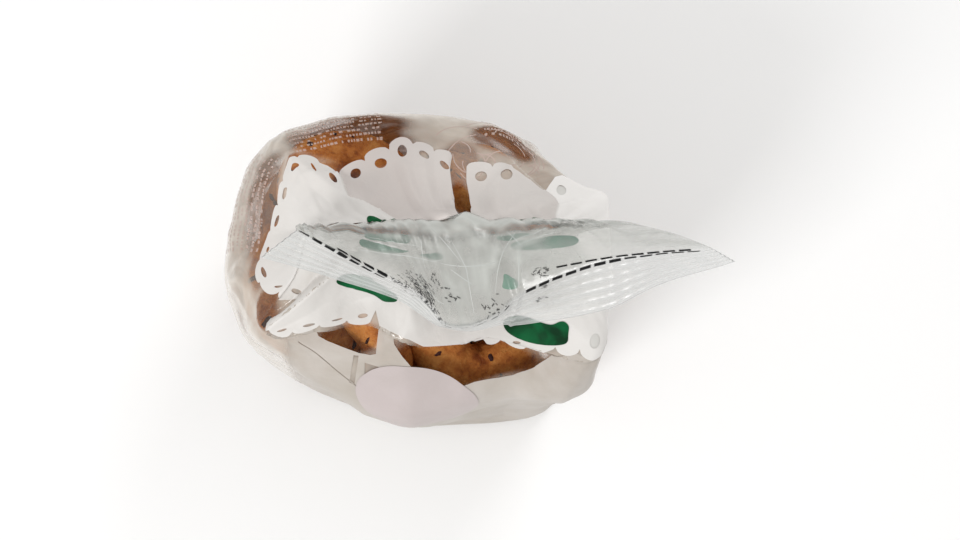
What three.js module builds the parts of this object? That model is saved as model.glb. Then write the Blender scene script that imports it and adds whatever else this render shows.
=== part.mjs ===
// A sealed film bag of ring biscuits. It stands on its flat base. Its gathered neck opens into a
// fan-shaped fin that folds forward over the front shoulder and ends in a flat ribbed seal.
// The bag is one closed solid, lofted ring by ring from the base to the free edge of the seal.
// Millimetres, +Z up, front at -Y, the origin at the middle of the base.
import * as THREE from "three";

// Driving dimensions
const GIRTH_WIDTH = 150;
const GIRTH_DEPTH = 128;
const GIRTH_HEIGHT = 148;
const SHOULDER_HEIGHT = 186;
const NECK_HEIGHT = 211;
const NECK_WIDTH = 104;
const NECK_HALF_DEPTH = 3.4;
const FIN_THICKNESS = 1.1;

// How fine the loft is
const RING_POINTS = 80;
const STEPS_PER_ROW = 2;
const FAN_STEPS = 7;
const SEAL_STEPS = 3;
const ROUNDING_SAMPLES = [-1, -0.5, 0, 0.5, 1];

// Outlines seen from above, as corners in shares of the half width and half depth.
// The rings between them blend from one to the next.
const BASE_OUTLINE = [
  [1, 0.72], [0.92, 0.92], [0.63, 0.98], [-0.6, 0.96], [-0.86, 0.83], [-0.98, 0.6],
  [-1, -0.16], [-0.95, -0.46], [-0.73, -0.7], [-0.06, -1], [0.63, -0.98], [0.92, -0.9], [1, -0.7],
];
const GIRTH_OUTLINE = [
  [0.97, 0.1], [0.81, 0.42], [0.68, 0.78], [0.24, 0.97], [-0.15, 1], [-0.43, 0.96],
  [-0.65, 0.875], [-0.83, 0.7], [-0.945, 0.28], [-1, -0.11], [-0.89, -0.4], [-0.62, -0.68],
  [0, -1], [0.68, -0.885], [0.965, -0.73], [1, -0.16],
];
// The shoulder: two ears on the right, a pointed flap at the front left, a straight front fold.
const SHOULDER_OUTLINE = [
  [1, 0.55], [0.74, 0.78], [0.49, 0.91], [-0.035, 1], [-0.77, 0.87], [-0.95, 0.17],
  [-1, -0.65], [-0.77, -0.84], [-0.14, -0.78], [0.13, -0.86], [0.47, -0.85], [0.76, -0.97],
  [0.94, -0.92], [1, -0.77],
];
const NECK_OUTLINE = [
  [1, 0], [0.94, 0.4], [0.69, 0.76], [0, 1], [-0.69, 0.76], [-0.94, 0.4],
  [-1, 0], [-0.94, -0.4], [-0.69, -0.76], [0, -1], [0.69, -0.76], [0.94, -0.4],
];
const OUTLINES = [BASE_OUTLINE, GIRTH_OUTLINE, SHOULDER_OUTLINE, NECK_OUTLINE];

// The rings of the body. Each gives its height, its reach to the left, right, front and back of its
// centre in shares of the girth's half width and half depth, the centre's x and y, the share of
// each of the four outlines, and the angle in degrees over which the corners are rounded.
const HALF_WIDTH = GIRTH_WIDTH / 2;
const HALF_DEPTH = GIRTH_DEPTH / 2;
const NECK_REACH = [
  (0.49 * NECK_WIDTH) / HALF_WIDTH,
  (0.51 * NECK_WIDTH) / HALF_WIDTH,
  NECK_HALF_DEPTH / HALF_DEPTH,
  NECK_HALF_DEPTH / HALF_DEPTH,
];
const BODY_ROWS = [
  bodyRow(0, [0.8, 0.77, 0.78, 0.78], [0, 0], [1, 0, 0, 0], 6),
  bodyRow(2.5, [0.87, 0.84, 0.86, 0.84], [0, 0], [1, 0, 0, 0], 6),
  bodyRow(12, [0.92, 0.89, 0.91, 0.91], [0, 0], [0.7, 0.3, 0, 0], 6),
  bodyRow(50, [0.96, 0.95, 0.95, 0.95], [0, 0], [0.3, 0.7, 0, 0], 6),
  bodyRow(105, [0.987, 0.987, 0.99, 0.99], [0, 0], [0, 1, 0, 0], 5),
  bodyRow(GIRTH_HEIGHT, [0.993, 1.007, 1, 1.008], [0, 0], [0, 1, 0, 0], 3),
  bodyRow(166, [0.947, 1.02, 0.93, 0.97], [0, 0], [0, 0.75, 0.25, 0], 3),
  bodyRow(178, [0.853, 1.047, 0.77, 0.875], [0, 0], [0, 0.35, 0.65, 0], 3),
  bodyRow(SHOULDER_HEIGHT, [0.773, 1.053, 0.58, 0.735], [0, 0], [0, 0, 1, 0], 2),
  bodyRow(195, [0.68, 0.96, 0.36, 0.5], [2, 2], [0, 0, 0.8, 0.2], 4),
  bodyRow(204, [0.667, 0.8, 0.156, 0.25], [7, 5], [0, 0, 0.4, 0.6], 5),
  bodyRow(NECK_HEIGHT, NECK_REACH, [14, 8.3], [0, 0, 0, 1], 5),
];

// Curves across the fin from its left end to its right end: the share of the width, then x, y, z.
// The fan rises from the neck, bends over the ridge and comes down to the fold of the seal.
const NECK_CURVE = [
  [0, -37, 6.5, 211], [0.25, -8, 8.5, 210], [0.5, 20, 9.5, 209], [0.75, 46, 9.5, 210],
  [1, 67, 9, 211],
];
const RIDGE_CURVE = [
  [0, -40, 12, 228], [0.25, -10, 11, 226], [0.42, 12, 9, 222], [0.62, 38, 11, 221],
  [0.8, 58, 14, 222], [1, 87, 14, 220],
];
const FOLD_CURVE = [
  [0, -38, 4.6, 243], [0.18, -12.2, -7.3, 228], [0.3, 4.6, -15, 219], [0.35, 10.9, -20.7, 216],
  [0.4, 16.5, -27.2, 213], [0.45, 25.1, -27.6, 212], [0.51, 35.3, -23.4, 213],
  [0.58, 43.9, -15.8, 216], [0.73, 69.6, -5.8, 228], [0.86, 91, -2.8, 234], [1, 113.9, -1.5, 238],
];
const FREE_EDGE_CURVE = [
  [0, -51, -5, 240], [0.2, -25.1, -10.7, 221], [0.3, -3.3, -16.7, 206], [0.37, 6, -21.5, 199],
  [0.43, 13.6, -26.1, 195], [0.47, 25, -28, 194.5], [0.53, 36.5, -26, 199],
  [0.6, 44.1, -26.4, 203], [0.76, 76.4, -21.9, 217], [0.86, 94.8, -13.7, 225],
  [1, 123, -5.6, 231],
];

function bodyRow(z, [left, right, front, back], centre, shares, rounding) {
  const reach = [left * HALF_WIDTH, right * HALF_WIDTH, front * HALF_DEPTH, back * HALF_DEPTH];
  return [z, ...reach, ...centre, ...shares, rounding];
}

// Catmull-Rom through evenly spaced rows of numbers. t runs from 0 to the last row.
function blendRows(rows, t) {
  const last = rows.length - 1;
  const i = Math.min(Math.floor(t), last - 1);
  const f = t - i;
  const b = rows[i];
  const c = rows[i + 1];
  const a = i > 0 ? rows[i - 1] : b.map((v, k) => 2 * v - c[k]);
  const d = i + 2 <= last ? rows[i + 2] : c.map((v, k) => 2 * v - b[k]);
  return b.map((v, k) => {
    const linear = (c[k] - a[k]) * f;
    const square = (2 * a[k] - 5 * v + 4 * c[k] - d[k]) * f * f;
    const cube = (3 * v - a[k] - 3 * c[k] + d[k]) * f * f * f;
    return 0.5 * (2 * v + linear + square + cube);
  });
}

// A cubic curve through points that each start with their own share q of the width.
function pointOnCurve(curve, q) {
  const last = curve.length - 1;
  let i = 0;
  while (i < last - 1 && q >= curve[i + 1][0]) i++;
  const p = curve[i];
  const n = curve[i + 1];
  const span = n[0] - p[0];
  const t = THREE.MathUtils.clamp((q - p[0]) / span, 0, 1);
  const slope = (from, to, k) => (to[k] - from[k]) / (to[0] - from[0]);
  const value = (k) => {
    const startSlope = i === 0 ? slope(p, n, k) : slope(curve[i - 1], n, k);
    const endSlope = i + 1 === last ? slope(p, n, k) : slope(p, curve[i + 2], k);
    const ends = p[k] * (2 * t ** 3 - 3 * t ** 2 + 1) + n[k] * (3 * t ** 2 - 2 * t ** 3);
    const slopes = startSlope * (t ** 3 - 2 * t ** 2 + t) + endSlope * (t ** 3 - t ** 2);
    return ends + span * slopes;
  };
  return new THREE.Vector3(value(1), value(2), value(3));
}

// How far an outline lies from its centre in one direction.
function reachOf(outline, angle) {
  const cos = Math.cos(angle);
  const sin = Math.sin(angle);
  let reach = 0;
  outline.forEach(([ax, ay], i) => {
    const [bx, by] = outline[(i + 1) % outline.length];
    const across = cos * (by - ay) - sin * (bx - ax);
    if (Math.abs(across) < 1e-9) return;
    const distance = (ax * (by - ay) - ay * (bx - ax)) / across;
    const along = (ax * sin - ay * cos) / across;
    if (distance > 0 && along > -1e-9 && along < 1 + 1e-9) reach = Math.max(reach, distance);
  });
  return reach;
}

function roundedReach(outline, angle, rounding) {
  const sum = ROUNDING_SAMPLES.reduce((s, k) => s + reachOf(outline, angle + k * rounding), 0);
  return sum / ROUNDING_SAMPLES.length;
}

function bodyRing(t) {
  const [z, left, right, front, back, x, y, ...rest] = blendRows(BODY_ROWS, t);
  const shares = rest.slice(0, OUTLINES.length);
  const rounding = THREE.MathUtils.degToRad(rest[OUTLINES.length]);
  const total = shares.reduce((s, v) => s + v, 0);
  return ringAngles().map((angle) => {
    const weighted = shares.map((share, k) =>
      share === 0 ? 0 : share * roundedReach(OUTLINES[k], angle, rounding),
    );
    const reach = weighted.reduce((s, v) => s + v, 0) / total;
    const cos = Math.cos(angle) * reach;
    const sin = Math.sin(angle) * reach;
    const sideways = cos * (cos > 0 ? right : left);
    const forward = sin * (sin > 0 ? back : front);
    return new THREE.Vector3(x + sideways, y + forward, z);
  });
}

// A ring starts at the left end, passes the front, then the right end, then the back.
function ringAngles() {
  const angles = [];
  for (let k = 0; k < RING_POINTS; k++) angles.push(Math.PI + (2 * Math.PI * k) / RING_POINTS);
  return angles;
}

// The middle of the fin's film at one step up the fin (0 neck, 1 seal fold, 2 free edge).
function finMiddle(step, k) {
  const even = (2 * k) / RING_POINTS;
  const atNeck = (1 - Math.cos(Math.PI * even)) / 2;
  if (step > 1) {
    const fold = pointOnCurve(FOLD_CURVE, even);
    return fold.lerp(pointOnCurve(FREE_EDGE_CURVE, even), step - 1);
  }
  const q = THREE.MathUtils.lerp(atNeck, even, step);
  const start = pointOnCurve(NECK_CURVE, q).multiplyScalar((1 - step) ** 2);
  const bend = pointOnCurve(RIDGE_CURVE, q).multiplyScalar(2 * step * (1 - step));
  const end = pointOnCurve(FOLD_CURVE, q).multiplyScalar(step ** 2);
  return start.add(bend).add(end);
}

// One ring round the fin: its front film from left to right, then its back film from right to left.
function finRing(step) {
  const half = RING_POINTS / 2;
  const small = 0.02;
  const thickness = FIN_THICKNESS / 2 + NECK_HALF_DEPTH * Math.max(0, 1 - step) ** 3;
  const front = [];
  const back = [];
  for (let k = 0; k <= half; k++) {
    const middle = finMiddle(step, k);
    const up = finMiddle(Math.min(step + small, 2), k).sub(finMiddle(step - small, k));
    const across = finMiddle(step, Math.min(k + 1, half)).sub(finMiddle(step, Math.max(k - 1, 0)));
    const normal = up.cross(across).normalize();
    const edge = Math.sqrt(Math.sin((Math.PI * k) / half));
    const offset = normal.multiplyScalar(thickness * edge);
    front.push(middle.clone().sub(offset));
    if (k > 0 && k < half) back.unshift(middle.clone().add(offset));
  }
  return [...front, ...back];
}

function bagRings() {
  const rings = [];
  const bodySteps = (BODY_ROWS.length - 1) * STEPS_PER_ROW;
  for (let i = 0; i <= bodySteps; i++) rings.push(bodyRing(i / STEPS_PER_ROW));
  for (let i = 1; i <= FAN_STEPS; i++) rings.push(finRing(i / FAN_STEPS));
  for (let i = 1; i <= SEAL_STEPS; i++) rings.push(finRing(1 + i / SEAL_STEPS));
  return rings;
}

// Joins the rings to one closed surface: side quads, a fan under the base, a strip at the free edge.
function loftGeometry(rings) {
  const points = rings.flat();
  const faces = [];
  const index = (r, k) => r * RING_POINTS + (k % RING_POINTS);
  for (let r = 0; r < rings.length - 1; r++) {
    for (let k = 0; k < RING_POINTS; k++) {
      const low = index(r, k);
      const lowNext = index(r, k + 1);
      const high = index(r + 1, k);
      const highNext = index(r + 1, k + 1);
      faces.push([low, lowNext, highNext], [low, highNext, high]);
    }
  }
  const baseMiddle = points.length;
  points.push(new THREE.Vector3(0, 0, 0));
  for (let k = 0; k < RING_POINTS; k++) faces.push([baseMiddle, index(0, k + 1), index(0, k)]);
  const top = rings.length - 1;
  const half = RING_POINTS / 2;
  for (let k = 0; k < half; k++) {
    const front = index(top, k);
    const frontNext = index(top, k + 1);
    const back = index(top, RING_POINTS - k);
    const backNext = index(top, RING_POINTS - k - 1);
    if (k < half - 1) faces.push([frontNext, backNext, front]);
    if (k > 0) faces.push([front, k < half - 1 ? backNext : frontNext, back]);
  }
  const geometry = new THREE.BufferGeometry().setFromPoints(points);
  geometry.setIndex(faces.flat());
  geometry.computeVertexNormals();
  return geometry;
}

const film = new THREE.MeshStandardMaterial({ color: 0xd9cfc6, roughness: 0.25, metalness: 0 });
const bag = new THREE.Mesh(loftGeometry(bagRings()), film);
bag.name = "bag";

const bagOfRingCookies = new THREE.Group();
bagOfRingCookies.name = "bag_of_ring_cookies";
bagOfRingCookies.add(bag);

export default bagOfRingCookies;
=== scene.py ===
# A sealed clear film bag of ring cookies, standing on its base and seen from above.
# The film, its printed fields of colour and the cookies inside replace the one CAD solid.
# Lengths are in millimetres until mesh_piece() writes them in metres.
import math

import bpy
import numpy as np
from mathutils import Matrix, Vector
from mathutils.geometry import delaunay_2d_cdt
from mathutils.kdtree import KDTree


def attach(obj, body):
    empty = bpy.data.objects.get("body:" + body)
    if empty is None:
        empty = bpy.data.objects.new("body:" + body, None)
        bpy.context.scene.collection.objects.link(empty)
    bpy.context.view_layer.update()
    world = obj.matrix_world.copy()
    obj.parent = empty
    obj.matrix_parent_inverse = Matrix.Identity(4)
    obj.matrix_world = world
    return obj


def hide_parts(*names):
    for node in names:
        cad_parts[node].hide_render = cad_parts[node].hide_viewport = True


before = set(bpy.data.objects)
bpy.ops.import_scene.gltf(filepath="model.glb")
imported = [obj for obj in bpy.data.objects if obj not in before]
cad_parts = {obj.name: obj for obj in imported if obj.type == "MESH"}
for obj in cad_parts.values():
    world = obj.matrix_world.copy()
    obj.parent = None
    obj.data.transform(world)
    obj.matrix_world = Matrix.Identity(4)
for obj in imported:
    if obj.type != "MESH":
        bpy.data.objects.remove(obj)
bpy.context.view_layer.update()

MM = 0.001

# ---------------------------------------------------------------------------- camera
PHOTO_WIDTH_PX = 960
CAMERA_ELEVATION = math.radians(84.0)
CAMERA_DISTANCE = 1100.0
CAMERA_TARGET = (28.9, 5.05, 100.0)
PX_PER_MM_AT_TARGET = 2.39
SENSOR_WIDTH = 36.0


def make_camera():
    data = bpy.data.cameras.new("camera")
    data.sensor_width = SENSOR_WIDTH
    data.lens = PX_PER_MM_AT_TARGET * CAMERA_DISTANCE * SENSOR_WIDTH / PHOTO_WIDTH_PX
    camera = bpy.data.objects.new("camera", data)
    bpy.context.scene.collection.objects.link(camera)
    back = Vector((0, -math.cos(CAMERA_ELEVATION), math.sin(CAMERA_ELEVATION)))
    camera.location = (Vector(CAMERA_TARGET) + back * CAMERA_DISTANCE) * MM
    camera.rotation_mode = "QUATERNION"
    camera.rotation_quaternion = (-back).to_track_quat("-Z", "Y")
    data.clip_end = 10
    bpy.context.scene.camera = camera


make_camera()

# ---------------------------------------------------------------------------- the bag's form
# The same outlines, rows and curves that the CAD solid is lofted from. The fin is 0.2 mm thinner.
GIRTH_WIDTH = 150.0
GIRTH_DEPTH = 128.0
GIRTH_HEIGHT = 148.0
SHOULDER_HEIGHT = 186.0
NECK_HEIGHT = 211.0
NECK_WIDTH = 104.0
NECK_HALF_DEPTH = 3.4
FIN_THICKNESS = 0.9
ROUNDING_SAMPLES = (-1, -0.5, 0, 0.5, 1)

BASE_OUTLINE = [
    (1, 0.72), (0.92, 0.92), (0.63, 0.98), (-0.6, 0.96), (-0.86, 0.83), (-0.98, 0.6),
    (-1, -0.16), (-0.95, -0.46), (-0.73, -0.7), (-0.06, -1), (0.63, -0.98), (0.92, -0.9),
    (1, -0.7),
]
GIRTH_OUTLINE = [
    (0.97, 0.1), (0.81, 0.42), (0.68, 0.78), (0.24, 0.97), (-0.15, 1), (-0.43, 0.96),
    (-0.65, 0.875), (-0.83, 0.7), (-0.945, 0.28), (-1, -0.11), (-0.89, -0.4), (-0.62, -0.68),
    (0, -1), (0.68, -0.885), (0.965, -0.73), (1, -0.16),
]
SHOULDER_OUTLINE = [
    (1, 0.55), (0.74, 0.78), (0.49, 0.91), (-0.035, 1), (-0.77, 0.87), (-0.95, 0.17),
    (-1, -0.65), (-0.77, -0.84), (-0.14, -0.78), (0.13, -0.86), (0.47, -0.85), (0.76, -0.97),
    (0.94, -0.92), (1, -0.77),
]
NECK_OUTLINE = [
    (1, 0), (0.94, 0.4), (0.69, 0.76), (0, 1), (-0.69, 0.76), (-0.94, 0.4),
    (-1, 0), (-0.94, -0.4), (-0.69, -0.76), (0, -1), (0.69, -0.76), (0.94, -0.4),
]
OUTLINES = (BASE_OUTLINE, GIRTH_OUTLINE, SHOULDER_OUTLINE, NECK_OUTLINE)

HALF_WIDTH = GIRTH_WIDTH / 2
HALF_DEPTH = GIRTH_DEPTH / 2


def body_row(z, reach, centre, shares, rounding):
    left, right, front, back = reach
    scaled = (left * HALF_WIDTH, right * HALF_WIDTH, front * HALF_DEPTH, back * HALF_DEPTH)
    return (z, *scaled, *centre, *shares, rounding)


NECK_REACH = (
    0.49 * NECK_WIDTH / HALF_WIDTH,
    0.51 * NECK_WIDTH / HALF_WIDTH,
    NECK_HALF_DEPTH / HALF_DEPTH,
    NECK_HALF_DEPTH / HALF_DEPTH,
)
BODY_ROWS = [
    body_row(0, (0.8, 0.77, 0.78, 0.78), (0, 0), (1, 0, 0, 0), 6),
    body_row(2.5, (0.87, 0.84, 0.86, 0.84), (0, 0), (1, 0, 0, 0), 6),
    body_row(12, (0.92, 0.89, 0.91, 0.91), (0, 0), (0.7, 0.3, 0, 0), 6),
    body_row(50, (0.96, 0.95, 0.95, 0.95), (0, 0), (0.3, 0.7, 0, 0), 6),
    body_row(105, (0.987, 0.987, 0.99, 0.99), (0, 0), (0, 1, 0, 0), 5),
    body_row(GIRTH_HEIGHT, (0.993, 1.007, 1, 1.008), (0, 0), (0, 1, 0, 0), 3),
    body_row(166, (0.947, 1.02, 0.93, 0.97), (0, 0), (0, 0.75, 0.25, 0), 3),
    body_row(178, (0.853, 1.047, 0.77, 0.875), (0, 0), (0, 0.35, 0.65, 0), 3),
    body_row(SHOULDER_HEIGHT, (0.773, 1.053, 0.58, 0.735), (0, 0), (0, 0, 1, 0), 2),
    body_row(195, (0.68, 0.96, 0.36, 0.5), (2, 2), (0, 0, 0.8, 0.2), 4),
    body_row(204, (0.667, 0.8, 0.156, 0.25), (7, 5), (0, 0, 0.4, 0.6), 5),
    body_row(NECK_HEIGHT, NECK_REACH, (14, 8.3), (0, 0, 0, 1), 5),
]
NECK_T = len(BODY_ROWS) - 1
FOLD_T = NECK_T + 1
SHOULDER_T = 8

# Curves across the fin, left to right: share of the width, then x, y, z.
NECK_CURVE = [
    (0, -37, 6.5, 211), (0.25, -8, 8.5, 210), (0.5, 20, 9.5, 209), (0.75, 46, 9.5, 210),
    (1, 67, 9, 211),
]
RIDGE_CURVE = [
    (0, -40, 12, 228), (0.25, -10, 11, 226), (0.42, 12, 9, 222), (0.62, 38, 11, 221),
    (0.8, 58, 14, 222), (1, 87, 14, 220),
]
FOLD_CURVE = [
    (0, -38, 4.6, 243), (0.18, -12.2, -7.3, 228), (0.3, 4.6, -15, 219), (0.35, 10.9, -20.7, 216),
    (0.4, 16.5, -27.2, 213), (0.45, 25.1, -27.6, 212), (0.51, 35.3, -23.4, 213),
    (0.58, 43.9, -15.8, 216), (0.73, 69.6, -5.8, 228), (0.86, 91, -2.8, 234),
    (1, 113.9, -1.5, 238),
]
FREE_EDGE_CURVE = [
    (0, -51, -5, 240), (0.2, -25.1, -10.7, 221), (0.3, -3.3, -16.7, 206), (0.37, 6, -21.5, 199),
    (0.43, 13.6, -26.1, 195), (0.47, 25, -28, 194.5), (0.53, 36.5, -26, 199),
    (0.6, 44.1, -26.4, 203), (0.76, 76.4, -21.9, 217), (0.86, 94.8, -13.7, 225),
    (1, 123, -5.6, 231),
]


def blend_rows(rows, t):
    """Catmull-Rom through evenly spaced rows of numbers."""
    rows = np.array(rows, float)
    last = len(rows) - 1
    i = min(int(t), last - 1)
    f = t - i
    b, c = rows[i], rows[i + 1]
    a = rows[i - 1] if i > 0 else 2 * b - c
    d = rows[i + 2] if i + 2 <= last else 2 * c - b
    square = (2 * a - 5 * b + 4 * c - d) * f**2
    cube = (3 * b - a - 3 * c + d) * f**3
    return 0.5 * (2 * b + (c - a) * f + square + cube)


def point_on_curve(curve, q):
    """Points on a cubic curve whose rows start with their share q of the width."""
    rows = np.array(curve, float)
    at, value = rows[:, 0], rows[:, 1:]
    q = np.asarray(q, float)
    i = np.clip(np.searchsorted(at, q, side="right") - 1, 0, len(at) - 2)
    span = at[i + 1] - at[i]
    t = np.clip((q - at[i]) / span, 0, 1)[..., None]
    slope = np.empty_like(value)
    slope[1:-1] = (value[2:] - value[:-2]) / (at[2:] - at[:-2])[:, None]
    slope[0] = (value[1] - value[0]) / (at[1] - at[0])
    slope[-1] = (value[-1] - value[-2]) / (at[-1] - at[-2])
    ends = value[i] * (2 * t**3 - 3 * t**2 + 1) + value[i + 1] * (3 * t**2 - 2 * t**3)
    slopes = slope[i] * (t**3 - 2 * t**2 + t) + slope[i + 1] * (t**3 - t**2)
    return ends + span[..., None] * slopes


def rounded_reach(outline, angles, rounding):
    """How far an outline lies from its centre, with its corners rounded."""
    a = np.array(outline, float)
    edge = np.roll(a, -1, 0) - a
    total = 0
    for sample in ROUNDING_SAMPLES:
        cos = np.cos(angles + sample * rounding)[:, None]
        sin = np.sin(angles + sample * rounding)[:, None]
        across = cos * edge[:, 1] - sin * edge[:, 0]
        across = np.where(np.abs(across) < 1e-9, 1e-9, across)
        distance = (a[:, 0] * edge[:, 1] - a[:, 1] * edge[:, 0]) / across
        along = (a[:, 0] * sin - a[:, 1] * cos) / across
        hit = (distance > 0) & (along > -1e-9) & (along < 1 + 1e-9)
        total = total + np.where(hit, distance, 0).max(1)
    return total / len(ROUNDING_SAMPLES)


def body_ring(t, angles):
    row = blend_rows(BODY_ROWS, t)
    z, left, right, front, back, x, y = row[:7]
    shares = row[7:11]
    reach = sum(
        share * rounded_reach(outline, angles, math.radians(row[11]))
        for share, outline in zip(shares, OUTLINES)
        if share
    )
    cos = np.cos(angles) * reach / shares.sum()
    sin = np.sin(angles) * reach / shares.sum()
    px = x + cos * np.where(cos > 0, right, left)
    py = y + sin * np.where(sin > 0, back, front)
    return np.stack([px, py, np.full_like(px, z)], -1)


def smooth(value, low, high):
    """Rises smoothly from 0 at low to 1 at high."""
    t = np.clip((np.asarray(value, float) - low) / (high - low), 0, 1)
    return t * t * (3 - 2 * t)


def fin_middle(step, share):
    """The middle of the fin's film: 0 is the neck, 1 the seal's fold, 2 its free edge."""
    at_neck = (1 - np.cos(np.pi * share)) / 2
    if step > 1:
        fold = point_on_curve(FOLD_CURVE, share)
        return fold + (point_on_curve(FREE_EDGE_CURVE, share) - fold) * (step - 1)
    q = at_neck + (share - at_neck) * step
    start = point_on_curve(NECK_CURVE, q) * (1 - step) ** 2
    bend = point_on_curve(RIDGE_CURVE, q) * 2 * step * (1 - step)
    return start + bend + point_on_curve(FOLD_CURVE, q) * step**2


def unit(v):
    return v / (np.linalg.norm(v, axis=-1, keepdims=True) + 1e-12)


def run_along(points):
    """The length along a line up to each of its points."""
    return np.concatenate([[0], np.cumsum(np.linalg.norm(np.diff(points, axis=0), axis=-1))])


def read_off(table, at):
    """Values between the rows of a table of (place, value)."""
    place, value = np.array(table).T
    return np.interp(at, place, value)


def search_tree(points):
    tree = KDTree(len(points))
    for k, point in enumerate(points):
        tree.insert(point, k)
    tree.balance()
    return tree


# ---------------------------------------------------------------------------- wrinkles
WRINKLE_SEED = 7
CREASE_COUNT = 170


def crease_set(count, box_low, box_high, radius, slope, seed):
    """Straight sharp creases: each a V-shaped fold that fades out around its own centre."""
    rng = np.random.default_rng(seed)
    return {
        "centre": rng.uniform(box_low, box_high, (count, 3)),
        "across": unit(rng.normal(size=(count, 3))),
        "radius": rng.uniform(*radius, count),
        "slope": rng.uniform(*slope, count) * rng.choice([-1, 1], count, p=[0.35, 0.65]),
    }


def crease_height(points, creases):
    height = np.zeros(points.shape[:-1])
    for k in range(len(creases["radius"])):
        offset = points - creases["centre"][k]
        distance = (offset**2).sum(-1) / creases["radius"][k] ** 2
        near = distance < 1
        window = (1 - distance[near]) ** 2
        fold = np.abs(offset[near] @ creases["across"][k])
        height[near] -= creases["slope"][k] * fold * window
    return height


# Places on the film, here and in the print below, are (share of the way round the bag, mm up the
# film). They were picked by eye on the photograph, and a scratch program looked each one up on the
# film's mesh.
#
# Folds in the film. The film lies higher on the left of each overlap's direction of travel, and
# drops sharply across it.
FRONT_OVERLAP = [
    (0.158, 230), (0.1365, 218), (0.1290, 215.5), (0.1195, 210), (0.1105, 203), (0.1035, 196.6),
    (0.107, 193.8), (0.117, 193.3), (0.133, 196.5), (0.153, 198), (0.176, 198.5), (0.202, 199),
    (0.2306, 195.5), (0.2528, 194), (0.268, 193), (0.300, 193.5), (0.3167, 195.5), (0.335, 193.5),
    (0.353, 193), (0.372, 189.5), (0.392, 189),
]
LEFT_OVERLAP = [
    (0.803, 236), (0.807, 228), (0.822, 223.5), (0.835, 220), (0.831, 210), (0.8295, 204),
]
SEAM_OVERLAP = [(0.716, 236), (0.7145, 222), (0.7135, 212), (0.7135, 196)]
EAR_OVERLAP = [(0.607, 219), (0.6250, 213), (0.6458, 204.5), (0.6625, 199.5)]
# Each overlap: its line, its height at the start, a tenth, a third and the end of the line, how
# far it runs back, and how deep the film beside it dips.
OVERLAPS = [
    (FRONT_OVERLAP, (3.0, 6.0, 5.6, 0.6), 15.0, 2.0),
    (LEFT_OVERLAP, (1.6, 3.4, 3.4, 1.4), 12.0, 1.0),
    (SEAM_OVERLAP, (1.2, 2.0, 2.2, 0.5), 7.0, 0.0),
    (EAR_OVERLAP, (0.6, 2.0, 2.4, 1.0), 12.0, 0.8),
]
OVERLAP_AT = (0, 0.1, 0.33, 1)
DIP_RUN = 9.0
# Each ridge: its line, its height and its half width in mm.
RIDGES = [
    ([(0.5790, 196.5), (0.5975, 215), (0.6104, 223), (0.6354, 232)], 4.4, 15.0),
    ([(0.161, 205), (0.198, 211)], -1.5, 6.0),
    ([(0.7528, 203), (0.750, 234)], 2.0, 5.0),
    ([(0.7361, 199), (0.738, 234)], 1.8, 4.5),
    ([(0.6722, 206), (0.6694, 234)], 1.6, 5.0),
    ([(0.862, 198), (0.845, 214), (0.83, 226)], 2.0, 8.0),
    ([(0.872, 150), (0.8694, 196), (0.875, 214)], 2.6, 12.0),
    ([(0.950, 201), (0.925, 222)], -1.4, 7.0),
    ([(0.262, 197), (0.248, 214)], 1.6, 7.0),
    ([(0.302, 196), (0.295, 216)], -1.5, 7.0),
    ([(0.385, 191), (0.365, 206), (0.34, 220)], 2.4, 9.0),
    ([(0.08, 150), (0.095, 186)], 1.8, 9.0),
    ([(0.205, 120), (0.214, 165)], 1.5, 10.0),
    ([(0.375, 110), (0.372, 180)], 2.0, 12.0),
]


def from_line(x, y, line, girth):
    """Signed distance from a line on the unrolled film, left side positive, and how far along."""
    line = np.asarray(line, float)
    middle = line[:, 0].mean()
    x = (x - middle + girth / 2) % girth - girth / 2 + middle
    lengths = np.linalg.norm(np.diff(line, axis=0), axis=1)
    total = lengths.sum()
    best = np.full(x.shape, 1e9)
    along = np.zeros(x.shape)
    done = 0.0
    for a, b, length in zip(line[:-1], line[1:], lengths):
        dx, dy = (b - a) / length
        s = np.clip((x - a[0]) * dx + (y - a[1]) * dy, 0, length)
        away = np.hypot(x - a[0] - s * dx, y - a[1] - s * dy)
        side = np.where(dx * (y - a[1]) - dy * (x - a[0]) >= 0, 1, -1)
        nearer = away < np.abs(best)
        best = np.where(nearer, away * side, best)
        along = np.where(nearer, (done + s) / total, along)
        done += length
    return best, along


def overlap_height(x, y, line, heights, run, dip, girth):
    away, along = from_line(x, y, line, girth)
    height = np.interp(along, OVERLAP_AT, heights)
    ends = smooth(along, 0, 0.02) * (1 - smooth(along, 0.98, 1))
    raised = height * smooth(away, -0.6, 0.6) * np.exp(-np.maximum(away, 0) / run)
    lowered = dip * (1 - smooth(away, -0.6, 0.6)) * np.exp(-np.maximum(-away, 0) / DIP_RUN)
    return ends * (raised - lowered)


def ridge_height(x, y, line, height, half_width, girth):
    away, along = from_line(x, y, line, girth)
    window = np.maximum(0, 1 - np.abs(away) / half_width)
    return height * window * np.sin(np.pi * np.clip(along, 0.03, 0.97)) ** 0.5


# Where the film stands a little further out or in than the smooth form: place round, mm. Set
# from how far the film's outline lay off the photograph's.
SWELL = [
    (0, -0.4), (0.03, 0.3), (0.075, 1.7), (0.10, 0), (0.13, -2.3), (0.20, -3.1), (0.25, -2.2),
    (0.30, -3.4), (0.34, -5.2), (0.375, -0.4), (0.41, -0.4), (0.46, 0), (0.60, 0), (0.625, 0.6),
    (0.65, 1.0), (0.68, 3.9), (0.70, 3.6), (0.73, 2.8), (0.76, 1.0), (0.80, -0.6), (0.83, -1.8),
    (0.865, -2.5), (0.90, 1.0), (0.925, -0.4), (0.95, -2.3), (0.98, -1.6), (1, -0.4),
]


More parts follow.
